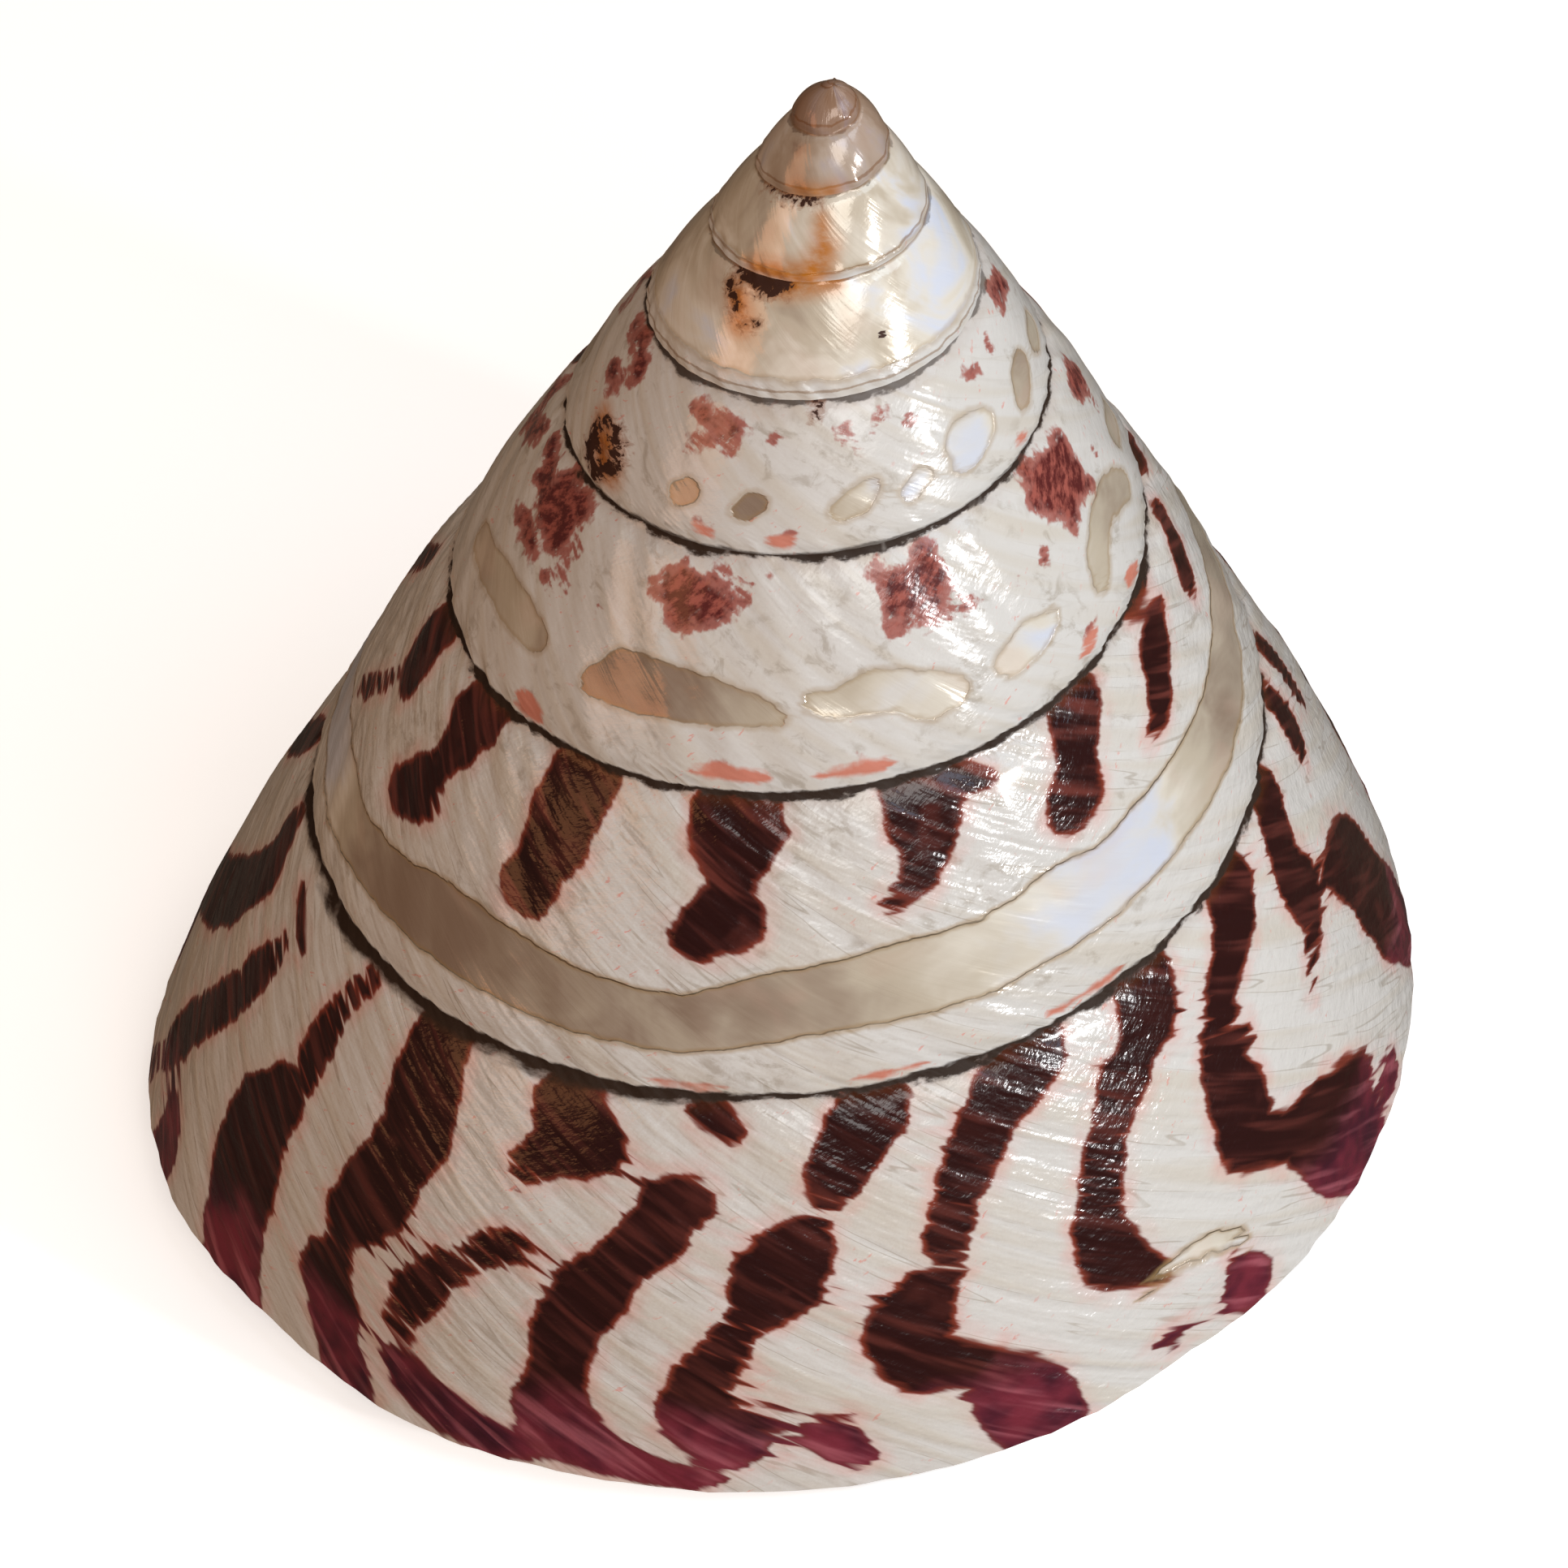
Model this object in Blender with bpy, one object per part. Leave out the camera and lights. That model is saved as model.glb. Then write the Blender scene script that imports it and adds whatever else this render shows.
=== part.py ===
"""Top shell: a right-handed, cone-shaped sea snail shell with an open mouth.

The shell is one closed solid. Its side is a strip that is extruded along a
spiral, so that the lower edge of each turn is the upper edge of the next one.
The last turn is closed below by a low base, and the mouth is a real hollow
that runs back into the last turn. Lengths are in metres, +Z is up, and the
shell lies in its own resting pose on Z = 0.

A place on the spiral is counted in turns from the tip. Turn 8 passes the
front, -Y, and the turns run clockwise when they are looked at from above.
"""

import math

import bmesh
import bpy
from mathutils import Matrix, Vector

MM = 0.001

# The spiral seam: its radius in millimetres after each number of turns.
SEAM_RADII = (
    (2.0, 2.25),
    (3.0, 4.2),
    (4.0, 6.9),
    (5.0, 10.7),
    (6.0, 15.65),
    (7.0, 23.2),
    (8.0, 32.6),
    (8.5, 39.0),
    (9.0, 44.8),
    (9.25, 49.0),
    (9.5, 50.0),
)
TIP_TURN = 1.0
TIP_ROUNDING = 0.9

# How far the seam has dropped below the tip at radius r: the sum of these
# factors times r, r squared and r cubed, in millimetres.
DROP = (1.61, 0.0052, 0.000027)

# The side of each turn stands proud of the straight line between its seams.
SIDE_BULGE = 0.028

# The mouth: where its lip meets the seam, how far the lip lags behind that
# place at the outer edge, and how much of the lag the base's lip makes up.
LIP_TURN = 8.0 + 35.0 / 60.0
LIP_LAG = 1.0 / 6.0
BASE_LIP_GAIN = 0.09

# The base: how far it bellies below its edge, as a share of the edge's radius,
# and the round column that it meets in the middle, in millimetres.
BASE_SHARES = (0.05, 0.14, 0.26, 0.38, 0.50, 0.61, 0.71, 0.80)
BASE_BELLY = 0.036
COLUMN_SHARE = 0.80
COLUMN_RADIUS = 9.0
COLUMN_DROP = 83.0

# The funnel in the column: its rows, each a radius and a height over the
# column's lower edge, in millimetres.
FUNNEL_ROWS = ((7.2, -0.5), (5.6, 1.0), (4.6, 4.0), (3.2, 8.0), (0.0, 10.5))

# The hollow behind the mouth: its walls in millimetres at the lip, further in,
# beside the column and along the inner side, and how it shrinks in one turn back.
LIP_WALL = 1.8
HOLLOW_WALL = 3.6
COLUMN_WALL = 6.0
INNER_WALL = 1.2
COLUMN_REACH = 26.0
HOLLOW_STEPS = 30
HOLLOW_CLOSING_STEPS = 6
SHRINK_ACROSS = 1.378
SHRINK_DOWN = 1.459

# The resting pose: how far the axis leans and towards which side, counted
# from +X to +Y, and the move that brings the middle of the shell's outline
# over the origin.
LEAN_DEGREES = 10.4
LEAN_TOWARDS_DEGREES = -24.0
REST_SHIFT = (17.56, -6.85, 85.91)


STEPS_PER_TURN = 60
SIDE_STRIPS = 6


def seam_radius(turn):
    """Radius of the seam in millimetres, a smooth curve through SEAM_RADII."""
    first_turn, first_radius = SEAM_RADII[0]
    if turn <= TIP_TURN:
        return 0.0
    if turn < first_turn:
        return first_radius * (turn - TIP_TURN) / (first_turn - TIP_TURN)
    turns = [pair[0] for pair in SEAM_RADII]
    logs = [math.log(pair[1]) for pair in SEAM_RADII]
    last = len(turns) - 1
    slopes = []
    for i in range(last + 1):
        before = max(i - 1, 0)
        after = min(i + 1, last)
        slopes.append((logs[after] - logs[before]) / (turns[after] - turns[before]))
    if turn >= turns[last]:
        return math.exp(logs[last] + slopes[last] * (turn - turns[last]))
    i = max(k for k in range(last) if turns[k] <= turn)
    width = turns[i + 1] - turns[i]
    s = (turn - turns[i]) / width
    value = (
        (2.0 * s ** 3 - 3.0 * s ** 2 + 1.0) * logs[i]
        + (s ** 3 - 2.0 * s ** 2 + s) * width * slopes[i]
        + (3.0 * s ** 2 - 2.0 * s ** 3) * logs[i + 1]
        + (s ** 3 - s ** 2) * width * slopes[i + 1]
    )
    return math.exp(value)


def seam_height(radius):
    """Height of the seam in millimetres, counted up from the tip."""
    rounded = math.sqrt(radius ** 2 + TIP_ROUNDING ** 2) - TIP_ROUNDING
    return -(DROP[0] * rounded + DROP[1] * radius ** 2 + DROP[2] * radius ** 3)


def at_turn(turn, radius, height):
    """Point in metres at a turn, with its radius and height in millimetres."""
    angle = 2.0 * math.pi * (turn + 0.25)
    return Vector((radius * math.cos(angle), -radius * math.sin(angle), height)) * MM


def ramp(value, low, high):
    """Smooth step from 0 at low to 1 at high."""
    s = min(max((value - low) / (high - low), 0.0), 1.0)
    return s * s * (3.0 - 2.0 * s)


def side_point(turn, share):
    """Point on the side of a turn, from its upper seam (0) to its lower (1)."""
    r0 = seam_radius(turn)
    r1 = seam_radius(turn + 1.0)
    z0 = seam_height(r0)
    z1 = seam_height(r1)
    bulge = 4.0 * SIDE_BULGE * share * (1.0 - share)
    radius = r0 + share * (r1 - r0) - bulge * (z1 - z0)
    height = z0 + share * (z1 - z0) + bulge * (r1 - r0)
    return at_turn(turn, radius, height)


def base_turn(progress, share):
    """Turn of a base point, from the inner edge of the mouth (0) to its lip (1)."""
    inward = min(share / COLUMN_SHARE, 1.0)
    start = LIP_TURN - 1.0 + (BASE_LIP_GAIN - LIP_LAG) * inward
    end = LIP_TURN - LIP_LAG + BASE_LIP_GAIN * inward
    return start + (end - start) * progress


def base_point(progress, share):
    """Point on the base, from its outer edge (0) to the column (COLUMN_SHARE)."""
    turn = base_turn(progress, share)
    edge_radius = seam_radius(turn + 1.0)
    belly = 4.0 * BASE_BELLY * share * (1.0 - share) * edge_radius
    by_the_wall = ramp(share, 0.35, COLUMN_SHARE)
    by_the_lip = share / COLUMN_SHARE
    sunk = by_the_wall + (by_the_lip - by_the_wall) * progress
    height = (seam_height(edge_radius) - belly) * (1.0 - sunk) - COLUMN_DROP * sunk
    round_in = ramp(share, 0.3, COLUMN_SHARE)
    radius = edge_radius * (1.0 - share) * (1.0 - round_in) + COLUMN_RADIUS * round_in
    return at_turn(turn, radius, height)


def new_edges_and_verts(result):
    """New vertices of an extrusion, and the edges that join two of them."""
    verts = {item for item in result["geom"] if isinstance(item, bmesh.types.BMVert)}
    edges = {edge for vert in verts for edge in vert.link_edges}
    return [edge for edge in edges if edge.verts[0] in verts and edge.verts[1] in verts], verts


def extrude_side(mesh, step_mark, row_mark):
    """Extrude the side of all turns from the tip to the lip."""
    shares = [i / SIDE_STRIPS for i in range(SIDE_STRIPS + 1)]
    verts = []
    for row, share in enumerate(shares):
        vert = mesh.verts.new(side_point(TIP_TURN - LIP_LAG * share, share))
        vert[row_mark] = row
        verts.append(vert)
    edges = [mesh.edges.new(pair) for pair in zip(verts, verts[1:])]
    for step in range(1, round((LIP_TURN - TIP_TURN) * STEPS_PER_TURN) + 1):
        turn = TIP_TURN + step / STEPS_PER_TURN
        edges, verts = new_edges_and_verts(bmesh.ops.extrude_edge_only(mesh, edges=edges))
        for vert in verts:
            share = shares[vert[row_mark]]
            vert.co = side_point(turn - LIP_LAG * share, share)
            vert[step_mark] = step


def extrude_base(mesh, step_mark, row_mark):
    """Extrude the free lower edge of the last turn inwards to the middle."""
    free_steps = round((1.0 - LIP_LAG) * STEPS_PER_TURN)
    first_step = round((LIP_TURN - TIP_TURN) * STEPS_PER_TURN) - free_steps
    edges = [
        edge
        for edge in mesh.edges
        if all(v[row_mark] == SIDE_STRIPS and v[step_mark] >= first_step for v in edge.verts)
    ]
    for share in BASE_SHARES:
        edges, verts = new_edges_and_verts(bmesh.ops.extrude_edge_only(mesh, edges=edges))
        for vert in verts:
            vert.co = base_point((vert[step_mark] - first_step) / free_steps, share)
    for radius, rise in FUNNEL_ROWS:
        edges, verts = new_edges_and_verts(bmesh.ops.extrude_edge_only(mesh, edges=edges))
        for vert in verts:
            turn = base_turn((vert[step_mark] - first_step) / free_steps, COLUMN_SHARE)
            vert.co = at_turn(turn, radius, rise - COLUMN_DROP)


def open_loops(mesh):
    """Loops of open edges, the one nearest the tip first."""
    left = {edge for edge in mesh.edges if edge.is_boundary}
    loops = []
    while left:
        loop = [left.pop()]
        front = set(loop[0].verts)
        while True:
            found = {edge for edge in left if front & set(edge.verts)}
            if not found:
                break
            left -= found
            loop.extend(found)
            front = {vert for edge in found for vert in edge.verts}
        loops.append(loop)
    return sorted(loops, key=lambda loop: -max(v.co.z for edge in loop for v in edge.verts))


def step_back(point, turns):
    """Move a point back along the spiral, shrinking towards the tip."""
    across = SHRINK_ACROSS ** -turns
    down = SHRINK_DOWN ** -turns
    place = Matrix.Rotation(2.0 * math.pi * turns, 3, "Z") @ point
    return Vector((place.x * across, place.y * across, place.z * down))


def sink_hollow(mesh, mouth, rim_mark, step_mark):
    """Extrude the face over the mouth back into the last turn, step by step."""
    rim = [vert.co.copy() for vert in mouth.verts]
    last_step = max(vert[step_mark] for vert in mouth.verts)
    inner_side = [vert[step_mark] < last_step for vert in mouth.verts]
    for place, vert in enumerate(mouth.verts):
        vert[rim_mark] = place
    lengths = [(rim[i] - rim[i - 1]).length for i in range(len(rim))]
    middles = [(rim[i] + rim[i - 1]) / 2.0 for i in range(len(rim))]
    centre = sum((m * w for m, w in zip(middles, lengths)), Vector()) / sum(lengths)

    def inset(place, wall):
        point = rim[place]
        column = 1.0 - ramp(math.hypot(point.x, point.y) / MM, COLUMN_RADIUS, COLUMN_REACH)
        side = INNER_WALL if inner_side[place] else wall
        width = side + (COLUMN_WALL - side) * column
        return point + (centre - point).normalized() * width * MM

    rings = [(0.0, LIP_WALL, 0.0), (0.012, HOLLOW_WALL, 0.0)]
    for step in range(1, HOLLOW_STEPS + 1):
        closing = max(0.0, (step - HOLLOW_STEPS + HOLLOW_CLOSING_STEPS) / HOLLOW_CLOSING_STEPS)
        rings.append((0.012 + step / STEPS_PER_TURN, HOLLOW_WALL, 0.8 * closing ** 2))
    face = mouth
    for turns, wall, closing in rings:
        face = bmesh.ops.extrude_discrete_faces(mesh, faces=[face])["faces"][0]
        for vert in face.verts:
            place = inset(vert[rim_mark], wall).lerp(centre, closing)
            vert.co = step_back(place, turns)


def build_shell_mesh():
    """Make the closed mesh of the shell with its tip at the origin."""
    mesh = bmesh.new()
    step_mark = mesh.verts.layers.int.new("step")
    row_mark = mesh.verts.layers.int.new("row")
    rim_mark = mesh.verts.layers.int.new("rim")
    extrude_side(mesh, step_mark, row_mark)
    extrude_base(mesh, step_mark, row_mark)
    bmesh.ops.remove_doubles(mesh, verts=mesh.verts[:], dist=0.000005)
    tip_loop, mouth_loop = open_loops(mesh)
    bmesh.ops.contextual_create(mesh, geom=tip_loop)
    mouth = bmesh.ops.contextual_create(mesh, geom=mouth_loop)["faces"][0]
    sink_hollow(mesh, mouth, rim_mark, step_mark)
    bmesh.ops.recalc_face_normals(mesh, faces=mesh.faces[:])
    return mesh


def rest_matrix():
    """Lean the shell's axis and move the shell onto its resting pose."""
    side = math.radians(LEAN_TOWARDS_DEGREES + 90.0)
    hinge = Vector((math.cos(side), math.sin(side), 0.0))
    lean = Matrix.Rotation(math.radians(LEAN_DEGREES), 4, hinge)
    return Matrix.Translation(Vector(REST_SHIFT) * MM) @ lean


def wear_flat(mesh):
    """Cut the lowest places off at Z = 0 and close them with flat faces."""
    bmesh.ops.bisect_plane(
        mesh,
        geom=mesh.verts[:] + mesh.edges[:] + mesh.faces[:],
        dist=0.000001,
        plane_co=(0.0, 0.0, 0.0),
        plane_no=(0.0, 0.0, -1.0),
        clear_outer=True,
    )
    rims = [edge for edge in mesh.edges if edge.is_boundary]
    bmesh.ops.holes_fill(mesh, edges=rims, sides=0)
    bmesh.ops.recalc_face_normals(mesh, faces=mesh.faces[:])


def make_material():
    """Polished white shell with a soft pearly gloss."""
    material = bpy.data.materials.new("polished_shell")
    material.use_nodes = True
    surface = material.node_tree.nodes["Principled BSDF"]
    surface.inputs["Base Color"].default_value = (0.62, 0.56, 0.50, 1.0)
    surface.inputs["Roughness"].default_value = 0.18
    surface.inputs["Metallic"].default_value = 0.0
    return material


def main():
    """Build the shell and lay it on its base."""
    for item in list(bpy.data.objects):
        bpy.data.objects.remove(item, do_unlink=True)
    parts = bpy.data.collections.new("top_shell")
    bpy.context.scene.collection.children.link(parts)

    mesh = build_shell_mesh()
    bmesh.ops.transform(mesh, matrix=rest_matrix(), verts=mesh.verts[:])
    wear_flat(mesh)
    data = bpy.data.meshes.new("shell")
    mesh.to_mesh(data)
    mesh.free()
    shell = bpy.data.objects.new("shell", data)
    shell.data.materials.append(make_material())
    parts.objects.link(shell)
    shell.data.shade_smooth()
    shell.data.set_sharp_from_angle(angle=math.radians(40.0))


main()
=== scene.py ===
"""A polished top shell: its carved surface, markings, pearl and studio.

The shell is built again here in fine detail, along the same spiral as its
solid model. A place on its side is a turn, counted from the tip, and a share
of the way from the upper seam of that turn (0) to its lower seam (1). Turn 8
passes the front, -Y, and turns grow clockwise seen from above. Lengths are in
millimetres, with the tip at zero, until the shell is laid down in metres.
"""

from __future__ import annotations

import logging
import math
from dataclasses import dataclass, field
from enum import Enum
from typing import Iterator

import bmesh
import bpy
import numpy as np
from mathutils import Matrix, Vector

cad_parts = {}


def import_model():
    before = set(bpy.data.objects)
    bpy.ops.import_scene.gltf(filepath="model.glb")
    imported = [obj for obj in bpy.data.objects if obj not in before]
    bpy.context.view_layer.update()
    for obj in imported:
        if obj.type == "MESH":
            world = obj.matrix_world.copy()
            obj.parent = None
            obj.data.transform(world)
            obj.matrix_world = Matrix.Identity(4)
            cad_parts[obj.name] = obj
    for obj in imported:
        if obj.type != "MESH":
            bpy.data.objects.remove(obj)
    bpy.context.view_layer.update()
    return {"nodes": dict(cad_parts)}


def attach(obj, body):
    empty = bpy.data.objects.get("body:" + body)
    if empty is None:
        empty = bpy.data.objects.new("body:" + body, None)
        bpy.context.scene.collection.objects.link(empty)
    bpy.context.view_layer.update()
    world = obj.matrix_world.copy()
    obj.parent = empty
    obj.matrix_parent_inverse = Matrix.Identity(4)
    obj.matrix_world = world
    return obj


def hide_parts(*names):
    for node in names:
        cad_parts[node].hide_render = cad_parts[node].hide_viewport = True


LOG = logging.getLogger("top_shell")

MM = 0.001
TURN_ANGLE = 2.0 * math.pi
OUTSIDE = -6.0
NO_SEAM_NEAR = 40.0
DEEP_IN_PEARL = 4.0

Point = tuple[float, float, float]
Rgba = tuple[float, float, float, float]
Table = tuple[tuple[float, ...], ...]
Stroke = tuple[Point, ...]
Edges = list[bmesh.types.BMEdge]


def srgb(red: int, green: int, blue: int) -> Rgba:
    """Turn a screen colour into a linear colour with full alpha.

    Args:
        red: Red from 0 to 255.
        green: Green from 0 to 255.
        blue: Blue from 0 to 255.

    Returns:
        The linear colour that a shader socket takes.
    """
    parts = [value / 255.0 for value in (red, green, blue)]
    linear = [v / 12.92 if v <= 0.04045 else ((v + 0.055) / 1.055) ** 2.4 for v in parts]
    return (*linear, 1.0)


def smooth(value: np.ndarray, low: float, high: float) -> np.ndarray:
    """Smooth step from 0 at low to 1 at high."""
    s = np.clip((value - low) / (high - low), 0.0, 1.0)
    return s * s * (3.0 - 2.0 * s)


def bell(distance: np.ndarray, reach: np.ndarray | float) -> np.ndarray:
    """Bell curve that is 1 at no distance and fades over its reach."""
    return np.exp(-((distance / reach) ** 2))


@dataclass(frozen=True)
class Spiral:
    """The growth law of the shell."""

    knots: Table = (
        (2.0, 2.25), (3.0, 4.2), (4.0, 6.9), (5.0, 10.7), (6.0, 15.65), (7.0, 23.2),
        (8.0, 32.6), (8.5, 39.0), (9.0, 44.8), (9.25, 49.0), (9.5, 50.0),
    )
    tip_turn: float = 1.0
    tip_rounding: float = 1.9
    tip_rise: float = 1.05
    tip_lift: float = 0.85
    tip_reach: float = 4.0
    tip_bulge: float = 0.11
    tip_bulge_turns: float = 0.8
    drop: Point = (1.61, 0.0052, 0.000027)
    side_bulge: float = 0.028
    lip_turn: float = 8.0 + 35.0 / 60.0
    lip_lag: float = 1.0 / 6.0
    base_lip_gain: float = 0.09
    base_belly: float = 0.036
    column_share: float = 0.80
    column_radius: float = 9.0
    column_drop: float = 83.0

    def seam_radius(self, turn: np.ndarray) -> np.ndarray:
        """Radius of the seam after a number of turns.

        Args:
            turn: Turns from the tip.

        Returns:
            Radii of the seam.
        """
        turn = np.asarray(turn, dtype=float)
        turns, radii = np.array(self.knots).T
        logs = np.log(radii)
        slopes = np.empty(len(turns))
        slopes[1:-1] = (logs[2:] - logs[:-2]) / (turns[2:] - turns[:-2])
        slopes[[0, -1]] = (np.diff(logs) / np.diff(turns))[[0, -1]]
        i = np.clip(np.searchsorted(turns, turn, side="right") - 1, 0, len(turns) - 2)
        width = turns[i + 1] - turns[i]
        s = (turn - turns[i]) / width
        value = (
            (2.0 * s**3 - 3.0 * s**2 + 1.0) * logs[i]
            + (s**3 - 2.0 * s**2 + s) * width * slopes[i]
            + (3.0 * s**2 - 2.0 * s**3) * logs[i + 1]
            + (s**3 - s**2) * width * slopes[i + 1]
        )
        value = np.where(turn >= turns[-1], logs[-1] + slopes[-1] * (turn - turns[-1]), value)
        first = radii[0] * np.clip((turn - self.tip_turn) / (turns[0] - self.tip_turn), 0.0, 1.0)
        return np.where(turn < turns[0], first, np.exp(value))

    def seam_height(self, radius: np.ndarray) -> np.ndarray:
        """Height of the seam at a radius.

        Args:
            radius: Radii of the seam.

        Returns:
            Heights from the tip, below zero.
        """
        rounded = np.sqrt(radius**2 + self.tip_rounding**2) - self.tip_rise
        rounded -= self.tip_lift * bell(radius, self.tip_reach)
        return -(self.drop[0] * rounded + self.drop[1] * radius**2 + self.drop[2] * radius**3)

    def tall(self, turn: np.ndarray) -> np.ndarray:
        """Straight distance between the upper and the lower seam of a turn."""
        r0, r1 = self.seam_radius(turn), self.seam_radius(turn + 1.0)
        return np.hypot(r1 - r0, self.seam_height(r0) - self.seam_height(r1))

    def place(self, turn: np.ndarray, radius: np.ndarray, height: np.ndarray) -> np.ndarray:
        """Points at turns, radii and heights.

        Args:
            turn: Turns from the tip.
            radius: Distances from the axis.
            height: Heights.

        Returns:
            Points, one row each.
        """
        angle = TURN_ANGLE * (turn + 0.25)
        parts = np.broadcast_arrays(radius * np.cos(angle), -radius * np.sin(angle), height)
        return np.stack(parts, axis=-1)

    def side(self, turn: np.ndarray, share: np.ndarray) -> np.ndarray:
        """Points on the side of the turns.

        Args:
            turn: Turns from the tip.
            share: Shares of the way from the upper to the lower seam.

        Returns:
            Points, one row each.
        """
        r0, r1 = self.seam_radius(turn), self.seam_radius(turn + 1.0)
        z0, z1 = self.seam_height(r0), self.seam_height(r1)
        past_tip = np.maximum(turn - self.tip_turn, 0.0)
        bulge = self.side_bulge + self.tip_bulge * bell(past_tip, self.tip_bulge_turns)
        bulge = 4.0 * bulge * share * (1.0 - share)
        radius = r0 + share * (r1 - r0) - bulge * (z1 - z0)
        return self.place(turn, radius, z0 + share * (z1 - z0) + bulge * (r1 - r0))

    def side_normals(self, turn: np.ndarray, share: np.ndarray) -> np.ndarray:
        """Outward normals of the plain side.

        Args:
            turn: Turns of the points.
            share: Shares of the points.

        Returns:
            Unit vectors, one row each.
        """
        small = 1e-3
        around = self.side(turn + small, share) - self.side(turn - small, share)
        down = self.side(turn, share + small) - self.side(turn, share - small)
        normal = np.cross(around, down)
        normal /= np.maximum(np.linalg.norm(normal, axis=1), 1e-12)[:, None]
        outward = self.place(turn, 1.0, 0.4)
        return normal * np.sign((normal * outward).sum(1))[:, None]

    def base_turn(self, progress: np.ndarray, share: float) -> np.ndarray:
        """Turns of base points between the mouth's inner edge and its lip.

        Args:
            progress: From the inner edge (0) to the lip (1).
            share: Share of the way from the outer edge to the middle.

        Returns:
            Turns from the tip.
        """
        inward = min(share / self.column_share, 1.0)
        start = self.lip_turn - 1.0 + (self.base_lip_gain - self.lip_lag) * inward
        end = self.lip_turn - self.lip_lag + self.base_lip_gain * inward
        return start + (end - start) * progress

    def base(self, progress: np.ndarray, share: float) -> np.ndarray:
        """Points on the base.

        Args:
            progress: From the mouth's inner edge (0) to its lip (1).
            share: Share of the way from the outer edge to the middle.

        Returns:
            Points, one row each.
        """
        turn = self.base_turn(progress, share)
        edge = self.seam_radius(turn + 1.0)
        belly = 4.0 * self.base_belly * share * (1.0 - share) * edge
        by_the_wall = smooth(share, 0.35, self.column_share)
        sunk = by_the_wall + (share / self.column_share - by_the_wall) * progress
        height = (self.seam_height(edge) - belly) * (1.0 - sunk) - self.column_drop * sunk
        round_in = smooth(share, 0.3, self.column_share)
        radius = edge * (1.0 - share) * (1.0 - round_in) + self.column_radius * round_in
        return self.place(turn, radius, height)


@dataclass(frozen=True)
class Resting:
    """How the shell lies: the lean of its axis and the shift onto the floor."""

    lean_degrees: float = 10.4
    towards_degrees: float = -24.0
    shift: Point = (17.56, -6.85, 85.91)

    def matrix(self) -> Matrix:
        """Matrix in millimetres from the spiral's own frame to the floor."""
        side = math.radians(self.towards_degrees + 90.0)
        hinge = Vector((math.cos(side), math.sin(side), 0.0))
        lean = Matrix.Rotation(math.radians(self.lean_degrees), 4, hinge)
        return Matrix.Translation(Vector(self.shift)) @ lean


class Skin(Enum):
    """Which part of the surface a point belongs to."""

    SIDE = 0
    BASE = 1
    HOLLOW = 2


# A stroke is a chain of points: turn, share, and half width in millimetres.

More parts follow.
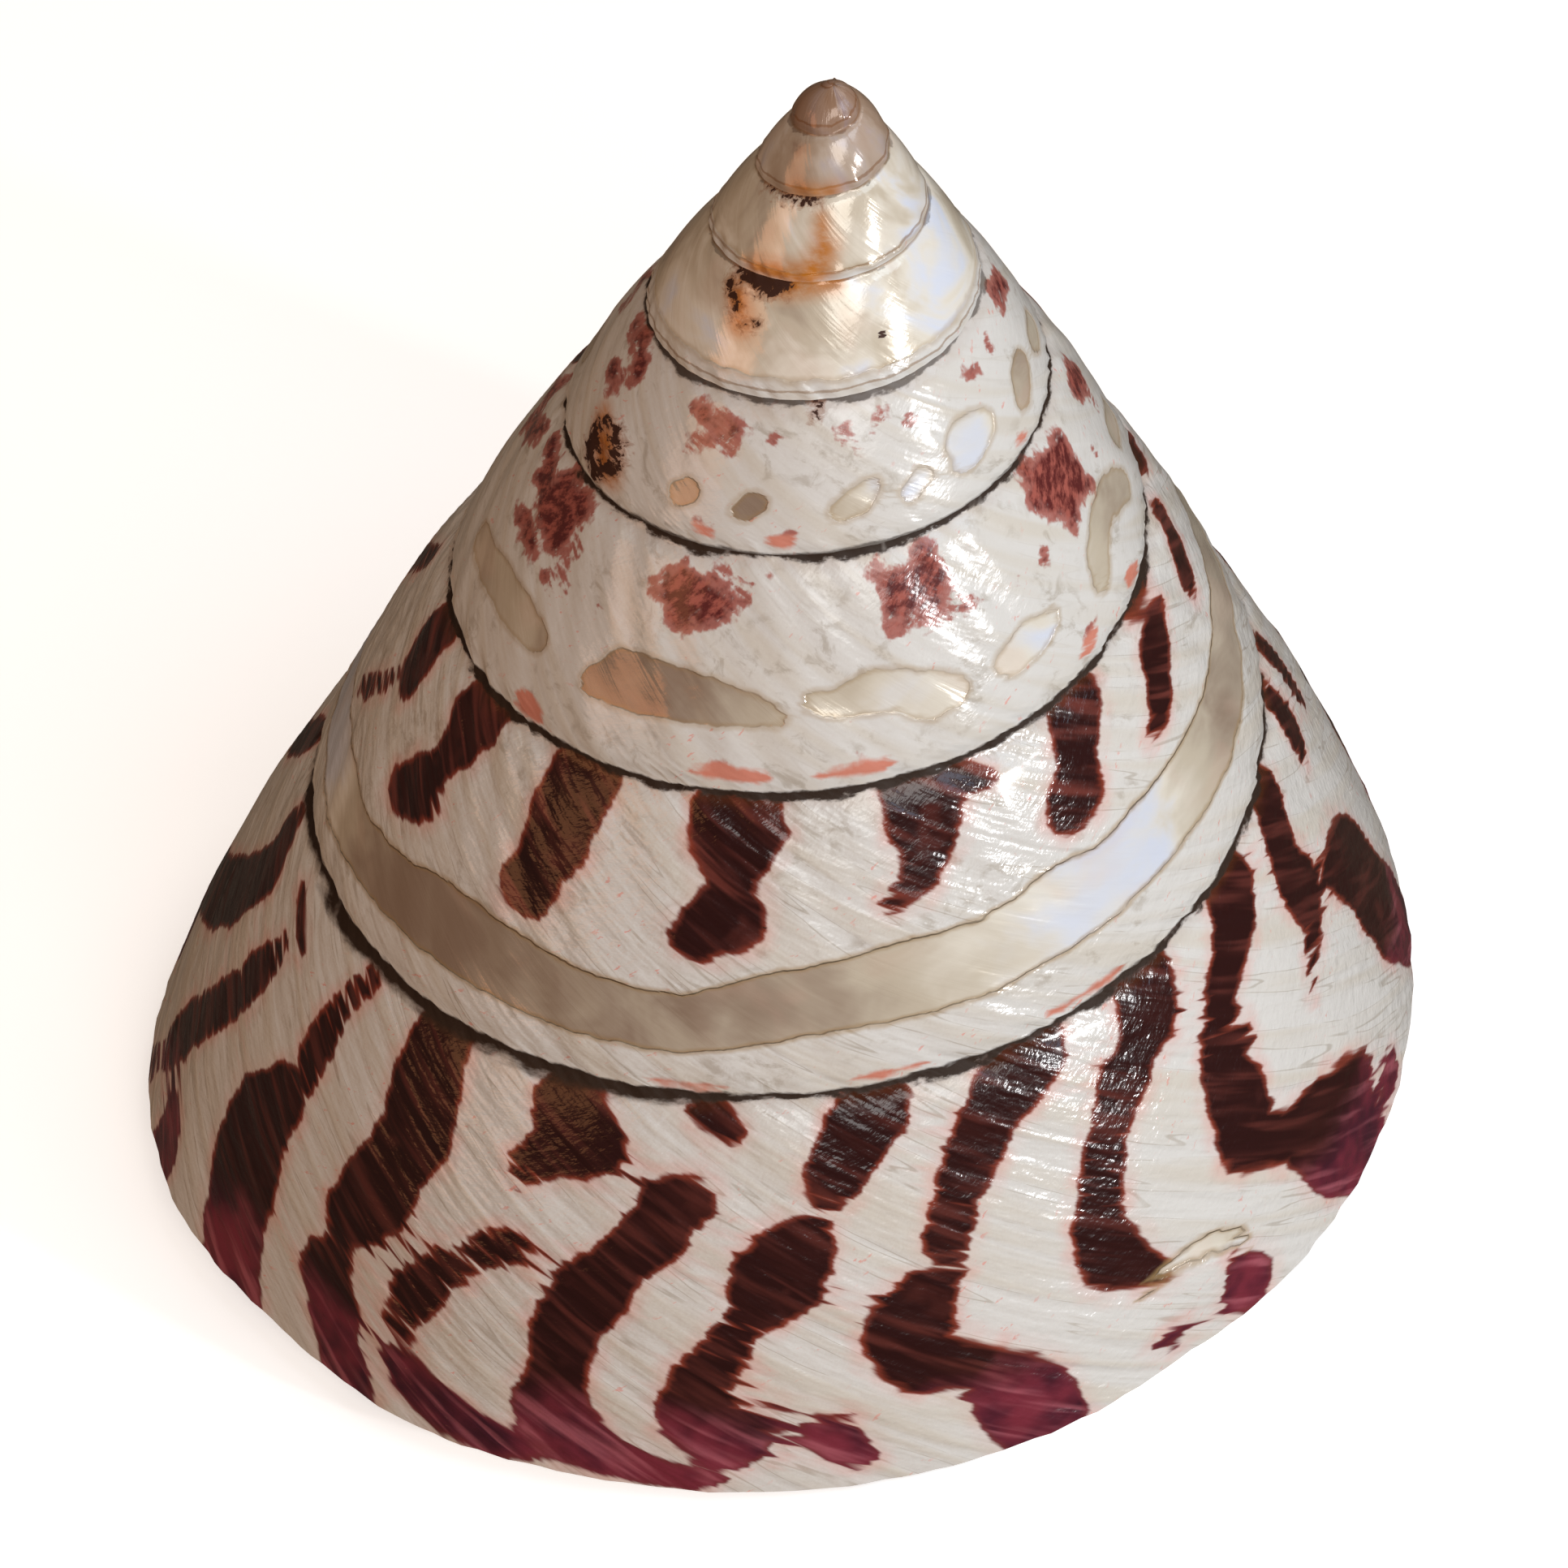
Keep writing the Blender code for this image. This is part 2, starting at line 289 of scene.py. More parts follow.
FLAMES: tuple[Stroke, ...] = (
    # Last turn, from the left to the right of the front.
    ((8.355, 0.88, 2.5), (8.35, 0.65, 2.2), (8.335, 0.5, 2.0), (8.32, 0.35, 1.8), (8.3, 0.2, 1.8),
     (8.285, 0.05, 2.0)),
    ((8.31, 0.98, 3.2), (8.29, 0.88, 3.0), (8.295, 0.74, 2.4), (8.28, 0.62, 2.6), (8.265, 0.5, 3.0),
     (8.25, 0.35, 3.0), (8.241, 0.2, 2.6), (8.246, 0.08, 1.8)),
    ((8.252, 1.03, 1.6), (8.248, 0.96, 1.4), (8.245, 0.9, 1.2), (8.238, 0.78, 2.0), (8.232, 0.66, 2.2),
     (8.224, 0.54, 2.0), (8.216, 0.42, 2.0), (8.212, 0.32, 2.0), (8.208, 0.21, 1.2)),
    ((8.221, 0.86, 1.8), (8.218, 0.94, 2.2), (8.22, 1.04, 2.2)),
    ((8.198, 0.16, 0.7), (8.206, 0.12, 0.6), (8.216, 0.08, 0.7)),
    ((8.163, 0.05, 1.2), (8.168, 0.1, 1.2), (8.17, 0.18, 1.5), (8.171, 0.28, 1.9), (8.17, 0.38, 1.2),
     (8.176, 0.46, 2.8), (8.182, 0.58, 3.8), (8.181, 0.72, 4.0), (8.179, 0.84, 3.6), (8.175, 0.94, 3.4),
     (8.17, 1.04, 3.2)),
    ((8.128, 0.04, 3.0), (8.127, 0.15, 3.4), (8.125, 0.28, 3.5), (8.127, 0.38, 3.0), (8.131, 0.48, 3.5),
     (8.136, 0.57, 2.8), (8.141, 0.63, 0.9), (8.137, 0.68, 1.4), (8.14, 0.76, 2.7), (8.135, 0.84, 2.7),
     (8.13, 0.92, 2.2), (8.122, 1.02, 2.2)),
    ((8.084, 0.44, 1.3), (8.09, 0.46, 1.5), (8.097, 0.52, 1.4), (8.104, 0.58, 1.8), (8.11, 0.67, 2.0),
     (8.112, 0.75, 1.5), (8.109, 0.79, 0.4)),
    ((8.111, 0.84, 1.2), (8.106, 0.88, 1.9), (8.096, 0.93, 1.9), (8.08, 0.96, 1.4), (8.07, 0.97, 0.8)),
    ((8.078, 0.02, 1.8), (8.08, 0.08, 2.8), (8.074, 0.13, 3.2), (8.067, 0.15, 2.4), (8.08, 0.19, 2.2),
     (8.086, 0.23, 1.6), (8.088, 0.28, 0.8)),
    ((8.036, 0.25, 1.9), (8.043, 0.265, 2.3), (8.045, 0.33, 2.5), (8.053, 0.42, 2.1), (8.06, 0.5, 2.7),
     (8.066, 0.62, 2.4), (8.066, 0.72, 2.0), (8.067, 0.82, 2.7), (8.063, 0.89, 2.6), (8.047, 0.945, 1.4),
     (8.024, 0.965, 0.9)),
    ((8.037, 0.02, 1.4), (8.027, 0.08, 1.1)),
    ((7.983, 0.05, 3.0), (7.99, 0.12, 2.6), (7.995, 0.2, 2.4), (7.998, 0.29, 0.8), (8.006, 0.38, 2.8),
     (8.011, 0.45, 3.3), (8.018, 0.54, 1.8), (8.024, 0.62, 1.7), (8.029, 0.71, 2.2), (8.031, 0.8, 2.2),
     (8.02, 0.86, 2.4), (8.013, 0.82, 1.2), (8.01, 0.76, 0.6)),
    # The small mark under the middle of the front.
    ((7.996, 0.86, 1.9), (7.99, 0.92, 1.3)),
    ((7.928, 0.03, 2.6), (7.94, 0.09, 2.6), (7.948, 0.15, 2.4), (7.953, 0.21, 2.3), (7.96, 0.31, 1.9),
     (7.964, 0.4, 1.9), (7.962, 0.48, 0.9), (7.971, 0.54, 2.2), (7.977, 0.62, 2.8), (7.973, 0.71, 2.2),
     (7.956, 0.76, 1.8), (7.95, 0.83, 2.8), (7.946, 0.91, 3.2), (7.942, 1.02, 2.6)),
    ((7.972, 0.55, 0.8), (7.983, 0.55, 0.5), (7.987, 0.51, 0.4)),
    ((7.884, 0.03, 3.0), (7.886, 0.1, 3.0), (7.893, 0.16, 2.0), (7.903, 0.23, 2.2), (7.912, 0.32, 1.8),
     (7.917, 0.42, 1.8), (7.921, 0.52, 2.0), (7.918, 0.62, 2.5), (7.911, 0.69, 1.5), (7.902, 0.75, 0.7)),
    ((7.883, 0.84, 1.0), (7.88, 0.92, 2.4)),
    ((7.908, 0.93, 0.9), (7.902, 0.93, 0.9)),
    ((7.834, 0.03, 2.9), (7.838, 0.09, 2.9), (7.846, 0.15, 2.1), (7.857, 0.21, 1.8), (7.866, 0.29, 1.6),
     (7.868, 0.38, 2.3), (7.866, 0.48, 2.8), (7.868, 0.57, 2.6), (7.861, 0.63, 1.8), (7.851, 0.68, 1.8),
     (7.842, 0.74, 3.2), (7.835, 0.82, 4.0), (7.828, 0.9, 3.6), (7.826, 0.98, 2.8), (7.824, 1.06, 2.4)),
    ((7.842, 0.72, 2.4), (7.826, 0.78, 2.6), (7.813, 0.8, 1.3)),
    ((7.855, 0.36, 1.2), (7.853, 0.33, 0.5)),
    ((7.793, 0.03, 2.4), (7.8, 0.12, 2.2), (7.806, 0.21, 2.2), (7.803, 0.29, 2.8), (7.807, 0.36, 1.8),
     (7.817, 0.42, 0.9), (7.823, 0.48, 0.5)),
    ((7.8, 0.93, 1.5), (7.806, 0.95, 1.0)),
    ((7.75, 0.03, 1.6), (7.753, 0.12, 2.0), (7.758, 0.19, 1.2)),
    ((7.786, 0.39, 1.2), (7.778, 0.42, 2.6), (7.77, 0.5, 3.6), (7.766, 0.6, 4.0), (7.763, 0.72, 3.8),
     (7.756, 0.84, 3.4), (7.748, 0.95, 3.0)),
    ((7.726, 0.03, 1.4), (7.724, 0.12, 1.6), (7.728, 0.24, 1.5)),
    # The turn above it, from the left to the right.
    ((7.285, 0.14, 1.1), (7.295, 0.24, 1.3), (7.31, 0.36, 1.3), (7.325, 0.5, 1.3), (7.338, 0.62, 1.1),
     (7.345, 0.72, 0.8)),
    ((7.228, 0.04, 2.3), (7.228, 0.14, 2.5), (7.226, 0.24, 2.2), (7.222, 0.3, 1.0)),
    ((7.235, 0.32, 0.7), (7.24, 0.4, 1.1), (7.248, 0.48, 1.3), (7.255, 0.54, 0.9)),
    ((7.17, 0.02, 2.8), (7.172, 0.09, 3.0), (7.173, 0.2, 2.2), (7.177, 0.3, 1.4), (7.182, 0.4, 2.2),
     (7.188, 0.48, 2.2), (7.176, 0.47, 1.4), (7.168, 0.44, 0.7)),
    ((7.108, 0.05, 3.2), (7.109, 0.15, 3.1), (7.11, 0.28, 2.8), (7.113, 0.38, 2.1), (7.114, 0.45, 2.4),
     (7.126, 0.48, 0.6)),
    ((7.044, 0.05, 2.2), (7.036, 0.1, 3.6), (7.022, 0.12, 1.4), (7.034, 0.19, 2.6), (7.036, 0.29, 1.7),
     (7.036, 0.39, 2.8), (7.044, 0.44, 2.2), (7.028, 0.42, 1.4)),
    ((6.957, 0.04, 3.4), (6.957, 0.15, 3.0), (6.958, 0.25, 1.9), (6.963, 0.33, 1.5), (6.974, 0.39, 0.7)),
    ((6.935, 0.08, 1.2), (6.924, 0.11, 0.4)),
    ((6.875, 0.05, 2.8), (6.88, 0.15, 2.3), (6.884, 0.23, 2.0), (6.893, 0.32, 2.1), (6.884, 0.33, 1.6)),
    ((6.798, 0.13, 0.8), (6.812, 0.15, 1.8), (6.821, 0.22, 1.9), (6.83, 0.31, 1.5), (6.842, 0.36, 0.6)),
    ((6.822, 0.01, 0.6), (6.806, 0.01, 1.0), (6.792, 0.01, 0.6)),
    ((6.745, 0.1, 1.2), (6.754, 0.19, 1.7), (6.765, 0.27, 1.5)),
    ((6.72, 0.02, 1.2), (6.7, 0.04, 1.2)),
)

BLOTCHES: tuple[Stroke, ...] = (
    # Rosy and maroon blotches on the fifth and sixth turns.
    ((6.198, 0.08, 1.7), (6.192, 0.2, 2.3), (6.18, 0.28, 1.7), (6.176, 0.12, 1.5)),
    ((6.238, 0.08, 1.0), (6.228, 0.12, 1.4), (6.215, 0.18, 1.4)),
    ((6.222, 0.36, 0.7), (6.205, 0.38, 1.2), (6.19, 0.4, 0.9), (6.178, 0.42, 0.8)),
    ((6.159, 0.25, 0.5), (6.16, 0.22, 0.3)),
    ((6.157, 0.42, 0.5), (6.159, 0.4, 0.4)),
    ((6.129, 0.4, 0.3), (6.13, 0.4, 0.3)),
    ((6.094, 0.2, 1.4), (6.08, 0.22, 2.2), (6.064, 0.2, 1.4)),
    ((6.066, 0.1, 0.8), (6.07, 0.15, 1.0)),
    ((6.088, 0.13, 0.9), (6.086, 0.3, 1.0)),
    ((6.068, 0.3, 0.8), (6.056, 0.26, 0.7), (6.048, 0.13, 0.4), (6.04, 0.09, 0.5)),
    ((5.97, 0.07, 0.8), (5.965, 0.16, 1.0), (5.952, 0.24, 2.0), (5.94, 0.2, 1.8), (5.938, 0.1, 1.1)),
    ((5.957, 0.32, 1.2), (5.938, 0.32, 1.0), (5.946, 0.38, 0.5)),
    ((5.92, 0.4, 0.5), (5.919, 0.37, 0.4)),
    ((5.893, 0.4, 0.3), (5.892, 0.38, 0.3)),
    ((5.846, 0.05, 0.9), (5.843, 0.13, 1.6), (5.832, 0.2, 2.4), (5.815, 0.18, 2.0), (5.805, 0.14, 1.2)),
    ((5.828, 0.28, 2.0), (5.812, 0.28, 2.2), (5.828, 0.38, 1.1), (5.806, 0.38, 0.9), (5.798, 0.43, 0.5)),
    ((5.863, 0.43, 0.45), (5.861, 0.4, 0.35)),
    ((5.778, 0.42, 0.45), (5.775, 0.38, 0.35)),
    ((5.74, 0.2, 1.4), (5.728, 0.3, 1.4), (5.735, 0.42, 0.7)),
    ((6.26, 0.15, 1.2), (6.275, 0.24, 1.4), (6.29, 0.32, 1.0)),
    # Orange lenses on the lower seam of the sixth and fifth turns.
    ((6.06, 0.915, 0.35), (6.045, 0.905, 0.6), (6.028, 0.925, 0.45)),
    ((6.002, 0.92, 0.35), (5.985, 0.91, 0.5), (5.97, 0.92, 0.4)),
    ((5.858, 0.92, 0.5), (5.85, 0.88, 0.5)),
    ((6.152, 0.92, 0.7), (6.142, 0.96, 0.7)),
    ((5.808, 0.9, 0.6), (5.798, 0.93, 0.5)),
    ((6.988, 0.965, 0.25), (6.965, 0.965, 0.25)),
    ((6.92, 0.965, 0.3), (6.89, 0.97, 0.35)),
    ((7.055, 0.975, 0.4), (7.03, 0.975, 0.3)),
    ((5.036, 0.9, 0.4), (5.024, 0.9, 0.4)),
    ((5.086, 0.9, 0.4), (5.08, 0.91, 0.4)),
    ((4.838, 0.9, 0.4), (4.832, 0.92, 0.4)),
    # The fifth turn.
    ((5.235, 0.1, 1.0), (5.22, 0.08, 1.0), (5.205, 0.14, 1.0), (5.195, 0.2, 1.3), (5.186, 0.26, 0.7)),
    ((5.225, 0.4, 0.8), (5.212, 0.42, 0.8), (5.208, 0.34, 0.5)),
    ((5.112, 0.2, 0.7), (5.098, 0.22, 0.8), (5.092, 0.14, 0.5)),
    ((5.086, 0.18, 0.5), (5.078, 0.24, 0.7), (5.07, 0.22, 0.5)),
    ((5.108, 0.4, 0.7), (5.104, 0.34, 0.6)),
    ((5.08, 0.34, 0.4), (5.079, 0.31, 0.3)),
    ((5.043, 0.25, 0.3), (5.041, 0.23, 0.3)),
    ((4.99, 0.26, 0.55), (4.987, 0.22, 0.5)),
    ((4.975, 0.33, 0.25), (4.974, 0.31, 0.25)),
    ((4.962, 0.27, 0.5), (4.956, 0.2, 0.5)),
    ((4.931, 0.24, 0.3), (4.929, 0.23, 0.3)),
    ((4.86, 0.25, 0.3), (4.85, 0.24, 0.3)),
    ((4.824, 0.24, 0.3), (4.818, 0.15, 0.4)),
    ((4.768, 0.2, 0.8), (4.745, 0.24, 1.0), (4.735, 0.32, 0.7)),
)

PEARL: tuple[Stroke, ...] = (
    # Windows worn through to the mother of pearl, fifth turn.
    ((5.106, 0.72, 0.85), (5.101, 0.68, 0.85)),
    ((5.057, 0.72, 0.8), (5.052, 0.67, 0.85)),
    ((4.99, 0.73, 0.75), (4.98, 0.68, 0.95), (4.97, 0.62, 0.75)),
    ((4.938, 0.72, 0.7), (4.93, 0.67, 0.75)),
    ((4.893, 0.7, 0.9), (4.884, 0.6, 1.7), (4.872, 0.6, 1.3)),
    ((4.812, 0.72, 1.0), (4.804, 0.62, 1.2), (4.796, 0.58, 0.9)),
    ((4.758, 0.7, 0.9), (4.742, 0.7, 0.9)),
    # Sixth turn.
    ((6.24, 0.66, 1.1), (6.222, 0.66, 1.4), (6.205, 0.63, 1.5), (6.18, 0.64, 1.6), (6.162, 0.66, 1.3)),
    ((6.116, 0.68, 1.2), (6.102, 0.62, 2.1), (6.08, 0.61, 1.9), (6.055, 0.62, 1.6), (6.035, 0.64, 1.1),
     (6.022, 0.67, 0.6)),
    ((6.006, 0.6, 0.6), (5.992, 0.62, 1.1), (5.975, 0.6, 1.5), (5.96, 0.62, 1.3), (5.947, 0.69, 1.6),
     (5.937, 0.7, 1.2)),
    ((5.902, 0.7, 1.1), (5.89, 0.68, 1.4), (5.874, 0.67, 0.9)),
    ((5.828, 0.74, 1.0), (5.822, 0.64, 1.3), (5.811, 0.58, 1.3), (5.792, 0.57, 1.3), (5.777, 0.64, 1.3),
     (5.766, 0.72, 0.9)),
    ((5.738, 0.62, 1.1), (5.722, 0.66, 1.1)),
    # A glassy arc low on the right of the last turn.
    ((7.912, 0.76, 0.45), (7.901, 0.735, 0.6), (7.889, 0.74, 0.75), (7.88, 0.775, 0.6), (7.877, 0.83, 0.35)),
)

PEARL_BAND: Table = (
    # The band on the seventh turn: turn, upper share and lower share.
    (6.35, 0.72, 0.74), (6.4, 0.64, 0.78), (6.5, 0.56, 0.82), (6.6, 0.44, 0.72), (6.7, 0.42, 0.67),
    (6.75, 0.45, 0.71), (6.77, 0.47, 0.75), (6.8, 0.5, 0.765), (6.83, 0.49, 0.765), (6.87, 0.495, 0.76),
    (6.89, 0.515, 0.77), (6.905, 0.48, 0.775), (6.92, 0.5, 0.78), (6.94, 0.535, 0.79), (6.97, 0.52, 0.79),
    (7.0, 0.555, 0.785), (7.02, 0.575, 0.82), (7.05, 0.67, 0.86), (7.08, 0.65, 0.86), (7.1, 0.63, 0.86),
    (7.12, 0.6, 0.85), (7.15, 0.59, 0.85), (7.17, 0.635, 0.855), (7.2, 0.67, 0.86), (7.22, 0.65, 0.875),
    (7.25, 0.64, 0.86), (7.3, 0.63, 0.86), (7.36, 0.66, 0.84), (7.42, 0.72, 0.8), (7.46, 0.755, 0.765),
)

PEARL_SHEEN_AND_SHADE: Table = (
    # Painted highlight and shade of the pearl along the turns, partly its own tone: shaded brown below zero,
    # highlit white above.
    (4.74, 0.0), (4.8, -0.45), (4.87, 0.7), (4.98, 0.3), (5.05, -0.55), (5.12, -0.4), (5.3, 0.0),
    (5.72, 0.2), (5.79, -0.3), (5.87, 0.7), (5.95, 0.5), (6.0, 0.15), (6.04, -0.35), (6.08, -0.75),
    (6.12, -0.6), (6.16, -0.2), (6.2, 0.0), (6.3, 0.0), (6.7, 0.0), (6.8, -0.45), (6.83, 0.1), (6.875, 1.1),
    (6.92, 0.6), (6.96, 0.25), (7.0, -0.3), (7.06, -0.45), (7.11, -0.6), (7.16, -0.75), (7.2, -0.25),
    (7.235, 0.75), (7.28, 1.0), (7.45, 0.4),
)

STAINS: tuple[Stroke, ...] = (
    # Brown and black dirt in the seams and in the pit.
    ((5.196, 0.66, 0.6), (5.193, 0.82, 0.9), (5.18, 0.9, 0.8), (5.166, 0.82, 0.7), (5.166, 0.66, 0.6),
     (5.18, 0.58, 0.5), (5.196, 0.66, 0.6)),
    ((4.145, 0.02, 0.4), (4.115, 0.03, 0.8), (4.085, 0.05, 1.0), (4.06, 0.02, 0.6)),
    ((4.142, 0.16, 0.4), (4.13, 0.24, 0.5), (4.115, 0.34, 0.3)),
    ((4.102, 0.44, 0.2), (4.086, 0.38, 0.2)),
    ((5.013, 0.0, 0.34), (5.012, 0.08, 0.3), (5.009, 0.13, 0.2)),
    ((3.16, 0.02, 0.3), (3.1, 0.02, 0.42), (3.03, 0.03, 0.42)),
)

SPECKS: Table = (
    # Round black dots: turn, share and radius.
    (3.94, 0.56, 0.3), (7.02, 0.42, 0.25),
)

AMBER: tuple[Stroke, ...] = (
    # Golden stains around the upper seams.
    ((3.02, 0.25, 0.3), (3.01, 0.6, 0.7), (3.03, 0.92, 0.9), (3.11, 0.95, 0.7)),
    ((4.12, 0.03, 0.5), (4.06, 0.04, 0.7), (3.99, 0.02, 0.4)),
    ((4.13, 0.15, 0.7), (4.105, 0.42, 0.7)),
    ((5.2, 0.62, 0.8), (5.18, 0.72, 1.2), (5.165, 0.85, 0.8)),
    ((2.08, 0.92, 0.2), (2.0, 0.94, 0.3)),
)


def uneven_turns(
    chance: np.random.Generator, spans: Table, spread: tuple[float, float]
) -> Iterator[tuple[float, float]]:
    """Walk along spans of turns in uneven steps.

    Args:
        chance: The source of chance.
        spans: First turn, last turn, usual step and a size for each span.
        spread: The least and the most that a step is multiplied by.

    Yields:
        A turn and the size of its span.
    """
    for turn, end, pitch, size in spans:
        while turn < end:
            yield turn, size
            turn += pitch * float(chance.uniform(*spread))


@dataclass
class Markings:
    """Distance fields of the marks over the side of the shell."""

    spiral: Spiral
    seed: int = 11
    flame_spans: Table = (
        (7.360, 7.700, 0.042, 1.0), (8.390, 8.745, 0.044, 1.0), (6.330, 6.690, 0.072, 0.45),
    )
    blotch_spans: Table = (
        (5.300, 5.700, 0.075, 1.5), (4.290, 4.700, 0.07, 0.8), (6.300, 6.330, 0.05, 1.4),
    )
    pearl_spans: Table = ((5.290, 5.690, 0.058, 1.5), (4.290, 4.700, 0.055, 1.0))
    band_steepness: float = 2.352
    worn_end: float = 4.42
    worn_shares: Table = ((1.0, 1.2), (2.5, 1.1), (3.0, 0.90), (4.3, 0.82))

    def hidden_flames(self) -> tuple[Stroke, ...]:
        """Flames for the hidden side, in the habit of the ones in front.

        Returns:
            The strokes.
        """
        chance = np.random.default_rng(self.seed)
        found: list[Stroke] = []
        for turn, reach in uneven_turns(chance, self.flame_spans, (0.75, 1.3)):
            drift = float(chance.uniform(0.02, 0.05))
            width = float(chance.uniform(1.8, 3.2))
            sway = float(chance.uniform(-0.008, 0.012))
            share = 0.0
            points: list[Point] = []
            while share < reach:
                pinch = 0.62 + 0.38 * abs(math.cos(3.1 * share * math.pi + 7.0 * turn))
                bend = sway * math.sin(2.6 * math.pi * share)
                points.append((turn + drift * share + bend, share, width * pinch))
                share += float(chance.uniform(0.07, 0.12))
            found.append(tuple(points))
        return tuple(found)

    def hidden_blotches(self) -> tuple[Stroke, ...]:
        """Rosy blotches for the hidden side of the upper turns.

        Returns:
            The strokes.
        """
        chance = np.random.default_rng(self.seed + 1)
        found: list[Stroke] = []
        for turn, size in uneven_turns(chance, self.blotch_spans, (0.7, 1.3)):
            middle = float(chance.uniform(0.14, 0.28))
            for _ in range(3):
                a, b, c, d = chance.uniform(-1.0, 1.0, 4)
                first = (turn + 0.010 * a, middle + 0.10 * b, size * 0.7)
                found.append((first, (turn + 0.012 * c, middle + 0.12 * d, size * 0.5)))
        return tuple(found)

    def hidden_pearl(self) -> tuple[Stroke, ...]:
        """Worn windows for the hidden side of the fifth and sixth turns.

        Returns:
            The strokes.
        """
        chance = np.random.default_rng(self.seed + 2)
        found: list[Stroke] = []
        for turn, size in uneven_turns(chance, self.pearl_spans, (0.8, 1.3)):
            length = float(chance.uniform(0.008, 0.030))
            middle = float(chance.uniform(0.60, 0.68))
            wide = size * float(chance.uniform(0.7, 1.2))
            ends = (turn, middle + 0.04, wide * 0.7), (turn + length, middle + 0.03, wide * 0.8)
            found.append((ends[0], (turn + length / 2.0, middle, wide), ends[1]))
        return tuple(found)

    def depth(self, strokes: tuple[Stroke, ...], turn: np.ndarray, share: np.ndarray) -> np.ndarray:
        """Depth inside the nearest stroke, below zero outside.

        Args:
            strokes: The strokes to measure.
            turn: Turns of the points on the side.
            share: Shares of the points on the side.

        Returns:
            Depths, one for each point, cut off far outside.
        """
        radius, tall = self.spiral.seam_radius(turn + 0.5), self.spiral.tall(turn)
        best = np.full(turn.shape, OUTSIDE)
        for points in strokes:
            reach = 0.09 + 7.0 / (TURN_ANGLE * float(self.spiral.seam_radius(points[0][0])))
            near = np.abs(turn - np.mean([point[0] for point in points])) < reach
            if not near.any():
                continue
            t, s, wide, high = turn[near], share[near], TURN_ANGLE * radius[near], tall[near]
            here = best[near]
            for (t0, s0, w0), (t1, s1, w1) in zip(points, points[1:]):
                ax, ay = (t - t0) * wide, (s - s0) * high
                bx, by = (t1 - t0) * wide, (s1 - s0) * high
                along = (ax * bx + ay * by) / np.maximum(bx * bx + by * by, 1e-9)
                along = np.clip(along, 0.0, 1.0)
                away = np.hypot(ax - along * bx, ay - along * by)
                here = np.maximum(here, w0 + (w1 - w0) * along - away)
            best[near] = here
        return best

    def band_depth(self, turn: np.ndarray, share: np.ndarray) -> np.ndarray:
        """Depth inside the long pearl band.

        Args:
            turn: Turns of the points on the side.
            share: Shares of the points on the side.

        Returns:
            Depths, one for each point.
        """
        turns, upper, lower = np.array(PEARL_BAND).T
        above = share - np.interp(turn, turns, upper)
        below = np.interp(turn, turns, lower) - share
        across = self.spiral.seam_radius(turn + 1.0) - self.spiral.seam_radius(turn)
        inside = np.minimum(above, below) * self.band_steepness * across
        return np.where((turn > turns[0]) & (turn < turns[-1]), inside, OUTSIDE)

    def worn_top(self, turn: np.ndarray, share: np.ndarray) -> np.ndarray:
        """Depth inside the fully worn upper turns.

        Args:
            turn: Turns of the points on the side.
            share: Shares of the points on the side.

        Returns:
            Depths, one for each point.
        """
        before_end = (self.worn_end - turn) * TURN_ANGLE * self.spiral.seam_radius(turn + 0.5)
        lower = np.interp(turn, *np.array(self.worn_shares).T)
        return np.minimum(before_end, (lower - share) * self.spiral.tall(turn))

    def pearl_sheen_and_shade(self, turn: np.ndarray) -> np.ndarray:
        """How the pearl shows, partly its own tone and partly painted highlight and shade: shaded brown
        below zero, champagne at zero, highlit white above.

        Args:
            turn: Turns of the points.

        Returns:
            Values around zero.
        """
        # Painted shade and highlight around the shell: darker on the left, lighter on the right where the
        # lamps stand.
        side_shading = 0.34 - 0.20 * np.sin(TURN_ANGLE * turn)
        known = np.interp(turn, *np.array(PEARL_SHEEN_AND_SHADE).T)
        blend = smooth(turn, 4.35, 4.75) * (1.0 - smooth(turn, 7.5, 7.8))
        return side_shading + (known - side_shading) * blend


